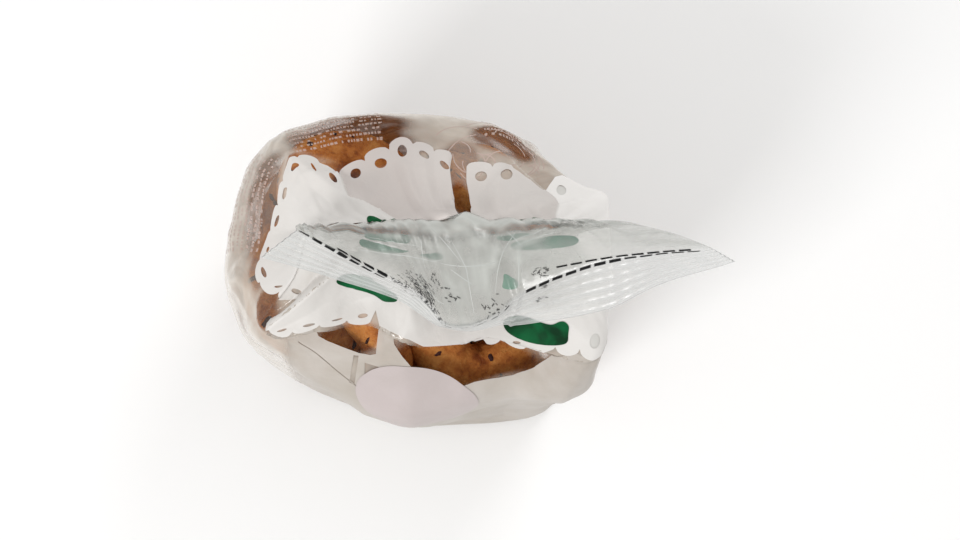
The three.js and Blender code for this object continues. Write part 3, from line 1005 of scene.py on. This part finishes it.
def ellipse(cx, cy, width, height, tilt=0.0, points=22):
    angle = np.linspace(0, 2 * np.pi, points, endpoint=False)
    x, y = np.cos(angle) * width / 2, np.sin(angle) * height / 2
    c, s = math.cos(tilt), math.sin(tilt)
    return np.stack([cx + x * c - y * s, cy + x * s + y * c], -1)


def scallop(start, end, depth):
    """Points from start towards end along a rounded lobe that hangs below the line."""
    x0, x1 = film.x_at(start[0]), film.x_at(end[0])
    run, rise = x1 - x0, end[1] - start[1]
    length = math.hypot(run, rise)
    share = np.arange(max(2, int(length / 0.8))) / max(2, int(length / 0.8))
    drop = depth * np.sqrt(np.maximum(0, 1 - (2 * share - 1) ** 2))
    x = x0 + run * share + drop * rise / length
    y = start[1] + rise * share - drop * run / length
    return np.stack([x, y], -1)


def lace_loops():
    edge = [scallop(p[:2], q[:2], p[2]) for p, q in zip(LACE[:-1], LACE[1:])]
    x0, x1 = film.x_at(LACE_START[0][0]), film.x_at(LACE[-1][0])
    x = np.arange(x1, x0, -1.5)
    turn = 2 * np.pi * (film.u_at(x) - 0.25)
    in_front = smooth(np.cos(turn), -0.05, 0.15)
    front, behind = LACE_ON_FIN
    top_y = film.up_mm[-1] + behind + (front - behind) * in_front
    top = np.stack([x, top_y], -1)
    start = [scallop(p, q, 0.0) for p, q in zip(LACE_START, LACE_START[1:] + [LACE[0][:2]])]
    holes = [
        ellipse(film.x_at(u), y, long, short, math.radians(tilt))
        for u, y, long, short, tilt in EYELETS
    ]
    last = flat([LACE[-1][:2]])
    return [np.concatenate(edge + [last, top] + start)] + holes


def make_lace():
    piece, u, y = print_piece("lace", lace_loops(), 1.0, LACE_LIFT, WHITE_INK)
    values = read_off(LACE_LAYERS_AND_SHADE, (u - LACE_END) % 1.0 + LACE_END)
    u = u % 1.0
    for line, (low, high), before, after in LACE_SHADE_STEPS:
        step = smooth(u - read_off(line, y), -0.002, 0.002)
        near = (u > low) & (u < high)
        values = np.where(near, before + (after - before) * step, values)
    # Each lace point's tone: doubled layers, with painted shade and painted light at folds and
    # facets.
    add_values(piece, "layers_and_painted_shade", values)
    # Grey discs under these eyelets paint the shaded white film behind them.
    discs = [ellipse(film.x_at(u), y, 7.0, 7.0) for u, y in FAINT_EYELETS]
    print_piece("faint_eyelets", discs, 1.5, FAINT_LIFT, EYELET_SHADE_INK)


# ---------------------------------------------------------------------------- printed panel
def flat(points):
    return np.array(film.flat(points))


def dense(corners, step=1.5):
    """A closed outline through corners with points every step mm."""
    a = np.asarray(corners, float)
    out = []
    for p, q in zip(a, np.roll(a, -1, 0)):
        n = max(1, int(np.linalg.norm(q - p) / step))
        out += [p + (q - p) * k / n for k in range(n)]
    return np.array(out)


def slit(start, end, width):
    """A long thin hole between two (u, y) places."""
    a, b = flat([start, end])
    across = np.array([-(b - a)[1], (b - a)[0]]) / np.linalg.norm(b - a) * width / 2
    return dense([a - across, b - across, b + across, a + across], 1.2)


PANEL_OUTLINE = [
    (0.106, 5), (0.400, 5), (0.400, 190), (0.385, 193.5), (0.3646, 194.4), (0.3540, 193.0),
    (0.3479, 187.1), (0.3458, 184.5), (0.3417, 181.7), (0.3354, 178.6), (0.3271, 177.4),
    (0.3083, 177.6), (0.2980, 176.6), (0.2625, 182.0), (0.2521, 187.1), (0.2458, 188.9),
    (0.2354, 191.9), (0.2300, 198.5), (0.2160, 200.0), (0.2146, 187.9), (0.2083, 187.3),
    (0.1958, 187.5), (0.1854, 188.5), (0.1750, 189.7), (0.1625, 191.6), (0.1542, 193.6),
    (0.1458, 200.3), (0.135, 200.0), (0.122, 196.0), (0.106, 190.0),
]
# Where the panel fades out, as places round the bag.
PANEL_FADE = (0.108, 0.140)
# Thin unprinted lines in the panel: from, to, width in mm.
PANEL_SLITS = [
    ((0.1396, 191.3), (0.1688, 178.7), 0.5),
    ((0.1692, 178.5), (0.1985, 169.6), 0.45),
    ((0.1927, 186.4), (0.1927, 170.8), 1.9),
]
PANEL_NOTCH = [(0.2030, 183.6), (0.2190, 182.9), (0.2045, 178.0)]
LABEL_CENTRE = (0.2637, 166.5)
LABEL_SIZE = (45.5, 37.0)
LABEL_TILT = -0.5


def make_panel():
    loops = [dense(flat(PANEL_OUTLINE)), dense(flat(PANEL_NOTCH), 1.0)]
    loops += [slit(*line) for line in PANEL_SLITS]
    piece, u, _ = print_piece("front_panel", loops, 1.9, PANEL_LIFT, PANEL_INK)
    add_values(piece, "cover", smooth(u, *PANEL_FADE))
    label_x = film.x_at(LABEL_CENTRE[0])
    outline = ellipse(label_x, LABEL_CENTRE[1], *LABEL_SIZE, tilt=LABEL_TILT, points=90)
    print_piece("label", [outline], 1.6, LABEL_LIFT, LABEL_INK)


# ---------------------------------------------------------------------------- green ribbons
# Lengths of a wavy ribbon printed round the neck, as outlines.
RIBBONS = [
    [(0.1490, 217.0), (0.1505, 219.4), (0.1560, 220.6), (0.1760, 219.2), (0.2000, 216.4),
     (0.2180, 213.4), (0.2320, 211.8), (0.2330, 209.4), (0.2230, 208.8), (0.2140, 208.8),
     (0.2060, 210.2), (0.1980, 211.4), (0.1840, 212.9), (0.1720, 213.6), (0.1610, 214.6)],
    [(0.3315, 199.4), (0.3310, 203.0), (0.3380, 205.5), (0.3450, 205.8), (0.3521, 204.8),
     (0.3563, 204.6), (0.3625, 207.0), (0.3655, 205.0), (0.3625, 201.5), (0.3612, 198.5),
     (0.3570, 197.3), (0.3500, 196.5), (0.3458, 195.9), (0.3396, 195.9), (0.3345, 197.2)],
    [(0.810, 238.5), (0.8438, 238.5), (0.8400, 235.0), (0.8313, 232.4), (0.8270, 233.4),
     (0.8230, 235.6), (0.8167, 236.0)],
    [(0.632, 239), (0.668, 239), (0.660, 235.6), (0.652, 236.2), (0.644, 235.4), (0.636, 237)],
]
# Ribbon seen through the fan, on its front layer: share along the fin, mm out from the neck.
FAN_RIBBONS = [
    [(0.262, 15.5), (0.271, 13.5), (0.330, 12.5), (0.388, 11.0), (0.370, 18.2), (0.325, 19.5),
     (0.235, 21.6)],
    [(0.214, 23.0), (0.250, 21.9), (0.321, 23.1), (0.362, 21.7), (0.300, 25.9), (0.194, 28.6)],
    [(0.372, 22.0), (0.438, 17.6), (0.446, 20.8), (0.396, 21.4)],
    [(0.566, 14.8), (0.610, 15.6), (0.662, 18.2), (0.600, 19.6), (0.570, 18.2)],
    [(0.590, 20.2), (0.640, 21.2), (0.750, 24.0), (0.728, 30.0), (0.629, 26.0), (0.588, 23.4)],
    [(0.556, 29.2), (0.574, 31.8), (0.584, 33.4), (0.574, 35.0), (0.538, 32.3), (0.550, 31.2)],
]


def make_ribbons():
    parts = []
    for outline in RIBBONS:
        xy, faces = fill_loops([rounded(flat(outline), 6)], 1.3)
        points = film.sample(film.u_at(xy[:, 0]), film.t_at(xy[:, 1]), RIBBON_LIFT)
        parts.append((points, faces))
    mesh_of_parts("ribbons", parts, GREEN_INK)
    parts = []
    for outline in FAN_RIBBONS:
        corners = [(share * FIN_WIDTH, out) for share, out in outline]
        xy, faces = fill_loops([rounded(corners, 6)], 1.6)
        t = NECK_T + xy[:, 1] / FAN_LENGTH
        points = film.sample(xy[:, 0] / FIN_WIDTH / 2, t, INSIDE_LIFT)
        parts.append((points, faces))
    mesh_of_parts("ribbons_inside", parts, TEAL_INK)


def rounded(corners, per_side=7):
    """A closed smooth outline through the middles of an outline's sides."""
    a = np.asarray(corners, float)
    before, after = (np.roll(a, 1, 0) + a) / 2, (np.roll(a, -1, 0) + a) / 2
    t = np.arange(per_side)[:, None] / per_side
    return np.concatenate([
        (1 - t) ** 2 * p + 2 * t * (1 - t) * q + t**2 * r for p, q, r in zip(before, a, after)
    ])


# ---------------------------------------------------------------------------- painted highlights on creases
# Painted highlights: thin bright strips along sharp creases, as share along the fin and mm out from
# the neck.
CREASE_HIGHLIGHT_LINES = [
    [(0.188, 29.8), (0.312, 25.9), (0.438, 20.8)], [(0.613, 16.7), (0.587, 20.6)],
    [(0.587, 23.1), (0.658, 21.5), (0.712, 21.7)], [(0.429, 21.9), (0.554, 25.7)],
    [(0.592, 20.4), (0.640, 19.4), (0.700, 18.0)], [(0.605, 24.4), (0.581, 34.7)],
    [(0.470, 14.0), (0.480, 24.0), (0.466, 34.0)], [(0.220, 20.5), (0.330, 20.6), (0.385, 18.6)],
]
CREASE_HIGHLIGHT_SEED = 8
RANDOM_CREASE_HIGHLIGHTS = 16
HIGHLIGHT_LIFT = 0.1
HIGHLIGHT_WIDTH = 0.3


def make_crease_highlights():
    """Thin tapered strips of painted highlight: along the creases named above, then random ones."""
    rng = np.random.default_rng(CREASE_HIGHLIGHT_SEED)
    lines = [[(q * FIN_WIDTH, out) for q, out in line] for line in CREASE_HIGHLIGHT_LINES]
    for _ in range(RANDOM_CREASE_HIGHLIGHTS):
        x, y = rng.uniform(8, FIN_WIDTH - 8), rng.uniform(8, FAN_LENGTH - 3)
        middle = abs(x / FIN_WIDTH - 0.5) < 0.14
        turn = rng.normal(math.pi / 2, 0.35) if middle else rng.normal(0.1, 0.12)
        reach = rng.uniform(3, 12)
        lines.append([(x - reach * math.cos(turn), y - reach * math.sin(turn)), (x, y),
                      (x + reach * math.cos(turn), y + reach * math.sin(turn))])
    parts = []
    for line in lines:
        a = np.array(line)
        a[:, 1] = np.clip(a[:, 1], 6, FAN_LENGTH - 1)
        run = run_along(a)
        at = np.linspace(0, run[-1], max(4, int(run[-1])))
        x, y = np.interp(at, run, a[:, 0]), np.interp(at, run, a[:, 1])
        across = unit(np.stack([-np.gradient(y), np.gradient(x)], -1))
        taper = HIGHLIGHT_WIDTH / 2 * np.sin(np.pi * np.clip(at / run[-1], 0.06, 0.94)) ** 0.5
        rows = []
        for side in (-1, 1):
            q = np.clip((x + side * across[:, 0] * taper) / FIN_WIDTH, 0.01, 0.99)
            out = y + side * across[:, 1] * taper
            rows.append(film.sample(1 - q / 2, NECK_T + out / FAN_LENGTH, HIGHLIGHT_LIFT))
        parts.append((np.concatenate(rows), strip_faces(len(x), 2)))
    mesh_of_parts("painted_crease_highlights", parts, CREASE_PAINTED_HIGHLIGHT)


# ---------------------------------------------------------------------------- register dashes
DASH_PITCH = 5.8
DASH_LENGTH = 4.4
DASH_WIDTH = 1.1
SEAL_DEPTH = 18.5
# Share along the fin, and how far the row of dashes lies past the seal's fold, in mm.
DASH_LINE = [
    (0.0, -1.2), (0.06, -0.5), (0.15, 0.4), (0.25, 1.0), (0.59, 0.0), (0.7, 0.4), (1.0, 0.5),
]
# How far past that line a row lies, in mm, by share along the fin.
ON_LINE = [(0, 0.0), (1, 0.0)]
ABOVE_LINE = [(0.25, -1.4), (0.66, -2.7), (0.71, -1.6), (0.76, -0.95), (0.85, -0.7), (1, -0.6)]
BELOW_LINE = [(0, 0.2), (1, 0.2)]
# Each row: name, how far past the line, dash width and length, the shares of the fin that it
# covers, and where its first dash starts, in mm.
DASH_START = 1.2
DASH_ROWS = [
    ("dashes", ON_LINE, DASH_WIDTH, DASH_LENGTH, [(0.0, 0.245), (0.585, 0.80)], DASH_START),
    ("dashes_end", ON_LINE, 0.65, DASH_LENGTH, [(0.80, 1.0)], DASH_START),
    ("dashes_above", ABOVE_LINE, 0.95, DASH_LENGTH, [(0.10, 0.245)], DASH_START),
    ("dashes_right", ABOVE_LINE, 0.5, DASH_LENGTH, [(0.65, 1.0)], DASH_START + DASH_PITCH / 2),
    ("dashes_middle", BELOW_LINE, 0.5, 0.6 * DASH_LENGTH, [(0.375, 0.56)], DASH_START),
]


def fin_t(past_fold):
    """Place up the film for a distance past the seal's fold in mm."""
    past_fold = np.asarray(past_fold, float)
    return FOLD_T + np.where(past_fold < 0, past_fold / FAN_LENGTH, past_fold / SEAL_DEPTH)


def make_dashes(name, shift, width, length, shares, start):
    """A row of dashes along the seal's fold, on the fin's upper layer."""
    share = np.linspace(0, 1, 600)
    line = point_on_curve(FOLD_CURVE, share)
    run = run_along(line)
    parts = []
    at = start
    while at + DASH_PITCH < run[-1] - 1:
        along = np.interp(at + np.linspace(0, length, 9), run, share)
        at += DASH_PITCH
        if not any(low <= along[4] <= high for low, high in shares):
            continue
        past = read_off(DASH_LINE, along) + read_off(shift, along)
        rows = [
            film.sample(1 - along / 2, fin_t(past + width * k), MARK_LIFT) for k in (0, 0.5, 1)
        ]
        parts.append((np.concatenate(rows), strip_faces(len(along), 3)))
    mesh_of_parts(name, parts, BLACK_INK)


def strip_faces(columns, rows):
    return [(r * columns + k, r * columns + k + 1, (r + 1) * columns + k + 1, (r + 1) * columns + k)
            for r in range(rows - 1) for k in range(columns - 1)]


SMUDGE_SEED = 12
# Clusters of marks: share along the fin, mm past the fold, how many, and their spread in mm.
SMUDGES = [
    (0.254, 0.6, 9, 1.4), (0.279, 0.5, 16, 1.6), (0.308, -2.5, 18, 1.7), (0.317, -1.3, 22, 2.0),
    (0.354, -4.8, 18, 1.8), (0.398, -8.2, 12, 1.8), (0.350, -2.5, 22, 1.8), (0.304, 5.0, 6, 1.2),
    (0.333, 0.5, 18, 1.8), (0.346, 0.0, 14, 1.4), (0.364, 0.6, 16, 1.4), (0.433, -5.8, 6, 1.2),
    (0.517, -1.3, 4, 1.4), (0.488, -1.3, 4, 1.4), (0.517, 0.6, 3, 1.0), (0.633, -2.4, 14, 1.2),
    (0.637, 2.2, 8, 1.0), (0.633, 7.5, 5, 1.0), (0.387, 0.6, 6, 0.9),
]


def make_smudges():
    """Short broken marks of the same ink where the film is gathered."""
    rng = np.random.default_rng(SMUDGE_SEED)
    parts = []
    for middle, past_fold, count, spread in SMUDGES:
        for _ in range(2 * count):
            x = middle * FIN_WIDTH + rng.normal(0, spread)
            y = past_fold + rng.normal(0, spread * 0.7)
            turn = rng.normal(0.25, 0.6)
            long, wide = rng.uniform(0.4, 1.3), rng.uniform(0.12, 0.34)
            corners = []
            for a, b in ((-1, -1), (1, -1), (1, 1), (-1, 1)):
                dx = a * long / 2 * math.cos(turn) - b * wide / 2 * math.sin(turn)
                dy = a * long / 2 * math.sin(turn) + b * wide / 2 * math.cos(turn)
                corners.append((1 - (x + dx) / FIN_WIDTH / 2, float(fin_t(y + dy))))
            u, t = np.array(corners).T
            parts.append((film.sample(u, t, MARK_LIFT), [(0, 1, 2, 3)]))
    mesh_of_parts("ink_marks", parts, SMUDGE_INK)


# ---------------------------------------------------------------------------- bars and arcs
BAR_SEED = 21
# Blocks of bars: left and right place round the bag, lowest and highest y, line pitch, thickness.
BAR_BLOCKS = [
    (0.772, 0.862, 150, 194, 3.7, 1.6),
    (0.884, 0.990, 120, 186, 3.3, 1.3),
    (0.640, 0.690, 150, 192, 3.6, 1.5),
]
ARC_SEED = 33
ARC_COUNT = 26
ARC_POINTS = 16
ARC_THICKNESS = 0.5


def make_bars():
    """Rows of short plain blocks with gaps, where the bag has lines of small print."""
    rng = np.random.default_rng(BAR_SEED)
    parts = []
    for u0, u1, y0, y1, pitch, thickness in BAR_BLOCKS:
        x0, x1 = film.x_at(u0), film.x_at(u1)
        for y in np.arange(y0, y1, pitch):
            x = x0 + rng.uniform(0, 2)
            while x < x1 - 2:
                length = min(rng.uniform(0.45, 1.3), x1 - x)
                xs = np.linspace(x, x + length, max(2, int(length / 1.2) + 1))
                lift = 2.2 * np.sin((xs - x0) / (x1 - x0) * np.pi)
                rows = [
                    film.sample(film.u_at(xs), film.t_at(y - lift + k * thickness), BAR_LIFT)
                    for k in (0, 1)
                ]
                parts.append((np.concatenate(rows), strip_faces(len(xs), 2)))
                x += length + rng.choice((0.4, 0.45, 0.5, 1.7))
    mesh_of_parts("print_bars", parts, LINE_INK)


def make_arcs():
    """Thin printed curves beside the seam."""
    rng = np.random.default_rng(ARC_SEED)
    parts = []
    for _ in range(ARC_COUNT):
        cx = film.x_at(rng.uniform(0.640, 0.712))
        cy = rng.uniform(192, 207)
        radius = rng.uniform(5, 14)
        start = rng.uniform(0, 2 * np.pi)
        angle = start + np.linspace(0, rng.uniform(0.6, 1.6), ARC_POINTS)
        rows = []
        for r in (radius - ARC_THICKNESS / 2, radius + ARC_THICKNESS / 2):
            x, y = cx + r * np.cos(angle), cy + r * np.sin(angle)
            rows.append(film.sample(film.u_at(x), film.t_at(np.clip(y, 150, 212)), ARC_LIFT))
        parts.append((np.concatenate(rows), strip_faces(ARC_POINTS, 2)))
    mesh_of_parts("print_arcs", parts, LINE_INK)


# ---------------------------------------------------------------------------- cookies
COOKIE_RADIUS = 30.5
HOLE_RADIUS = 8.5
COOKIE_THICKNESS = 16.0
HEAP_SEED = 5
LOOSE_COOKIES = 29
SETTLE_STEPS = 330
FALL_STEPS = 170
# Cookies that show through the clear places: centre, then the direction that the top faces.
SHOWN_COOKIES = [
    ((29, -22, 156), (0.05, 0.30, 0.95)),
    ((-22, 30, 155), (-0.15, 0.25, 0.95)),
    ((-38, -4, 150), (-0.40, -0.05, 0.9)),
    ((33, 26, 148), (0.25, 0.3, 0.93)),
    ((-20, -27, 150), (-0.2, -0.35, 0.9)),
]
ANCHOR_PULL = 0.06
# Gaps kept from the film and the base while the heap settles, and from the film at last.
WALL_GAP = 3.4
BASE_GAP = 4.0
FILM_GAP = 1.3
# The highest cookies are made finer: how many, then points round and across a cookie.
FINE_COOKIES = 11
FINE_GRID = (150, 58)
COARSE_GRID = (84, 32)


def rotation_between(a, b):
    a, b = unit(np.array(a, float)), unit(np.array(b, float))
    return np.array(Vector(a).rotation_difference(Vector(b)).to_matrix())


def cookie_balls():
    """A ring cookie as balls of its thickness."""
    ball = COOKIE_THICKNESS / 2
    rings = [(8, HOLE_RADIUS + ball), (14, COOKIE_RADIUS - ball)]
    return np.concatenate([
        np.stack([r * np.cos(a), r * np.sin(a), 0 * a], -1)
        for n, r in rings
        for a in [np.arange(n) * 2 * np.pi / n]
    ])


def film_walls(rows=2, columns=4):
    """Points of the film's body with the smooth film's directions, in a search tree."""
    grid = film.points[: len(BODY_T)][::rows, ::columns].reshape(-1, 3)
    normals = grid_normals(film.smooth_body)[::rows, ::columns].reshape(-1, 3)
    return search_tree(grid), grid, normals


def settle_heap():
    """Lets rigid rings, each made of balls, sink and push apart inside the film."""
    rng = np.random.default_rng(HEAP_SEED)
    ball = COOKIE_THICKNESS / 2
    local = cookie_balls()
    tree, wall, wall_normals = film_walls()
    shown = len(SHOWN_COOKIES)
    centres = [c for c, _ in SHOWN_COOKIES]
    turns = [rotation_between((0, 0, 1), d) for _, d in SHOWN_COOKIES]
    spots = [(-34, 25), (34, 25), (-34, -25), (34, -25)]
    for k in range(LOOSE_COOKIES):
        x, y = spots[k % 4]
        z = 12 + (k // 4) * 18.0 + rng.uniform(-2, 2)
        centres.append((x + rng.uniform(-4, 4), y + rng.uniform(-4, 4), z))
        lean = rng.normal(0, 0.25, 2)
        turns.append(rotation_between((0, 0, 1), (lean[0], lean[1], 1)))
    centres, turns = np.array(centres, float), np.array(turns)
    anchors = centres.copy()
    count, per = len(centres), len(local)
    owner = np.repeat(np.arange(count), per)
    apart = owner[:, None] != owner[None, :]
    for step in range(SETTLE_STEPS):
        balls = (centres[:, None] + np.einsum("cij,bj->cbi", turns, local)).reshape(-1, 3)
        gap = balls[:, None] - balls[None, :]
        distance = np.sqrt((gap**2).sum(-1)) + 1e-9
        depth = np.where(apart, np.maximum(0, 2 * ball - distance), 0)
        push = np.clip((gap * (depth / distance)[..., None]).sum(1) * 0.5, -2.5, 2.5)
        if step < FALL_STEPS:
            push[owner >= shown, 2] -= 0.4
        nearest = np.array([tree.find(b)[1] for b in balls])
        inside = ((wall[nearest] - balls) * wall_normals[nearest]).sum(-1)
        over = np.clip(ball + WALL_GAP - inside, 0, 12)
        push -= wall_normals[nearest] * over[:, None]
        push[:, 2] += np.maximum(0, ball + BASE_GAP - balls[:, 2])
        moved = (balls + push).reshape(count, per, 3)
        middle = moved.mean(1)
        cross = np.einsum("cbi,bj->cij", moved - middle[:, None], local)
        # The ring is flat, so its own axis is added from the turn it already has.
        cross += turns[:, :, 2:3] * np.array([0, 0, 1.0]) * 50
        u, _, vt = np.linalg.svd(cross)
        u[:, :, 2] *= np.linalg.det(u @ vt)[:, None]
        turns = u @ vt
        centres = middle
        centres[:shown] += (anchors[:shown] - middle[:shown]) * ANCHOR_PULL
    balls = (centres[:, None] + np.einsum("cij,bj->cbi", turns, local)).reshape(-1, 3)
    return centres, turns, balls


def cookie_shape(rng, around, section):
    """One ring: a puffed top, a flatter underside, uneven in plan, with lumps."""
    a = np.linspace(0, 2 * np.pi, around, endpoint=False)[:, None]
    s = np.linspace(0, 2 * np.pi, section, endpoint=False)[None, :]
    outer = COOKIE_RADIUS * (1 + 0.012 * np.sin(2 * a + rng.uniform(0, 6))
                             + 0.010 * np.sin(3 * a + rng.uniform(0, 6))
                             + 0.006 * np.sin(7 * a + rng.uniform(0, 6)))
    inner = HOLE_RADIUS * (1 + 0.06 * np.sin(2 * a + rng.uniform(0, 6))
                           + 0.05 * np.sin(3 * a + rng.uniform(0, 6)))
    middle, half = (outer + inner) / 2, (outer - inner) / 2
    cos, sin = np.cos(s), np.sin(s)
    wide = np.sign(cos) * np.abs(cos) ** 0.74
    tall = np.sign(sin) * np.abs(sin) ** np.where(sin > 0, 0.92, 0.6)
    lumps = 0
    for _ in range(14):
        k = rng.integers(2, 18)
        m = rng.integers(1, 6)
        lumps = lumps + np.sin(k * a + m * s + rng.uniform(0, 6.3)) / (2 + 0.4 * k)
    radius = middle + half * wide * (1 + 0.03 * lumps)
    z = COOKIE_THICKNESS / 2 * tall * (1 + 0.05 * lumps)
    return np.stack([radius * np.cos(a), radius * np.sin(a), z + 0 * a], -1)


def ring_faces(around, section):
    return [
        (i * section + j, ((i + 1) % around) * section + j,
         ((i + 1) % around) * section + (j + 1) % section, i * section + (j + 1) % section)
        for i in range(around) for j in range(section)
    ]


def pressed_in(grid, walls):
    """The cookie's points, moved in wherever they come nearer to the film than FILM_GAP."""
    tree, wall, wall_normals = walls
    points = grid.reshape(-1, 3)
    nearest = np.array([tree.find(p)[1] for p in points])
    inside = ((wall[nearest] - points) * wall_normals[nearest]).sum(-1)
    points = points - wall_normals[nearest] * np.maximum(0, FILM_GAP - inside)[:, None]
    return points.reshape(grid.shape)


def chip_shape(rng):
    """A small irregular lump of chocolate."""
    phi = (1 + 5**0.5) / 2
    corners = unit(np.array([
        (-1, phi, 0), (1, phi, 0), (-1, -phi, 0), (1, -phi, 0), (0, -1, phi), (0, 1, phi),
        (0, -1, -phi), (0, 1, -phi), (phi, 0, -1), (phi, 0, 1), (-phi, 0, -1), (-phi, 0, 1),
    ], float))
    faces = [
        (0, 11, 5), (0, 5, 1), (0, 1, 7), (0, 7, 10), (0, 10, 11), (1, 5, 9), (5, 11, 4),
        (11, 10, 2), (10, 7, 6), (7, 1, 8), (3, 9, 4), (3, 4, 2), (3, 2, 6), (3, 6, 8),
        (3, 8, 9), (4, 9, 5), (2, 4, 11), (6, 2, 10), (8, 6, 7), (9, 8, 1),
    ]
    points = list(corners)
    halves = {}
    fine = []

    def half(i, j):
        key = (min(i, j), max(i, j))
        if key not in halves:
            halves[key] = len(points)
            points.append(unit(points[i] + points[j]))
        return halves[key]

    for a, b, c in faces:
        ab, bc, ca = half(a, b), half(b, c), half(c, a)
        fine += [(a, ab, ca), (b, bc, ab), (c, ca, bc), (ab, bc, ca)]
    points = np.array(points) * (1 + rng.uniform(-0.22, 0.22, (len(points), 1)))
    return points, fine


CHIPS_PER_COOKIE = 26


def chips_on(grid, rng):
    parts = []
    around, section = grid.shape[:2]
    normals = unit(np.cross(np.roll(grid, -1, 0) - np.roll(grid, 1, 0),
                            np.roll(grid, -1, 1) - np.roll(grid, 1, 1)))
    for _ in range(CHIPS_PER_COOKIE):
        i = rng.integers(around)
        j = int(rng.normal(0.2 if rng.random() < 0.75 else 0.7, 0.14) * section) % section
        size = np.array([rng.uniform(0.8, 3.6), rng.uniform(0.6, 1.5), rng.uniform(0.4, 0.65)])
        points, faces = chip_shape(rng)
        normal = normals[i, j]
        side = unit(np.cross(normal, rng.normal(size=3)))
        basis = np.stack([side, np.cross(normal, side), normal], 0)
        placed = grid[i, j] - normal * 0.55 * size[2] + (points * size) @ basis
        parts.append((placed, faces))
    return parts


def make_cookies(centres, turns):
    rng = np.random.default_rng(HEAP_SEED + 1)
    fine = set(np.argsort(-centres[:, 2])[:FINE_COOKIES])
    groups = {"cookies_top": [], "cookies_below": []}
    walls = film_walls(1, 2)
    chips = []
    for k, (centre, turn) in enumerate(zip(centres, turns)):
        around, section = FINE_GRID if k in fine else COARSE_GRID
        spin = rng.uniform(0, 2 * np.pi)
        about = np.array([[math.cos(spin), -math.sin(spin), 0],
                          [math.sin(spin), math.cos(spin), 0], [0, 0, 1]])
        grid = cookie_shape(rng, around, section) @ about.T @ turn.T + centre
        grid = pressed_in(grid, walls)
        group = "cookies_top" if k in fine else "cookies_below"
        groups[group].append((grid.reshape(-1, 3), ring_faces(around, section)))
        chips += chips_on(grid, rng)
    for name, parts in groups.items():
        mesh_of_parts(name, parts, COOKIE)
    mesh_of_parts("chocolate_chips", chips, CHOCOLATE)


cookie_centres, cookie_turns, contents = settle_heap()
make_cookies(cookie_centres, cookie_turns)
make_film(contents)
make_lace()
make_panel()
make_ribbons()
make_crease_highlights()
for dash_row in DASH_ROWS:
    make_dashes(*dash_row)
make_smudges()
make_bars()
make_arcs()

# ---------------------------------------------------------------------------- floor and light
def make_floor():
    size = 3000.0
    mesh = bpy.data.meshes.new("floor")
    corners = [(-size, -size, 0), (size, -size, 0), (size, size, 0), (-size, size, 0)]
    mesh.from_pydata([tuple(c * MM for c in corner) for corner in corners], [], [(0, 1, 2, 3)])
    n = Nodes("floor")
    tone = n.ramp(n.noise(2.0, 2), (0.3, (0.93, 0.93, 0.93)), (0.7, (0.95, 0.95, 0.95)))
    mesh.materials.append(n.shader(Base_Color=tone, Roughness=0.9))
    floor = bpy.data.objects.new("floor", mesh)
    bpy.context.scene.collection.objects.link(floor)
    floor.location.z = -0.0002


def make_lights():
    world = bpy.data.worlds.new("world")
    bpy.context.scene.world = world
    world.use_nodes = True
    background = world.node_tree.nodes["Background"]
    background.inputs["Color"].default_value = (1.0, 0.995, 0.985, 1)
    background.inputs["Strength"].default_value = 0.70
    lamps = [
        ("key", (-420, -500, 900), 4.6, 280),
        ("back", (350, 520, 850), 2.0, 350),
    ]
    for name, place, power, size in lamps:
        data = bpy.data.lights.new(name, "AREA")
        data.energy = power
        data.size = size * MM
        lamp = bpy.data.objects.new(name, data)
        lamp.location = Vector(place) * MM
        aim = Vector((20, 0, 150)) - Vector(place)
        lamp.rotation_mode = "QUATERNION"
        lamp.rotation_quaternion = aim.to_track_quat("-Z", "Y")
        bpy.context.scene.collection.objects.link(lamp)


make_floor()
make_lights()
scene = bpy.context.scene
scene.view_settings.view_transform = "Standard"
scene.cycles.transparent_max_bounces = 28
scene.cycles.max_bounces = 10
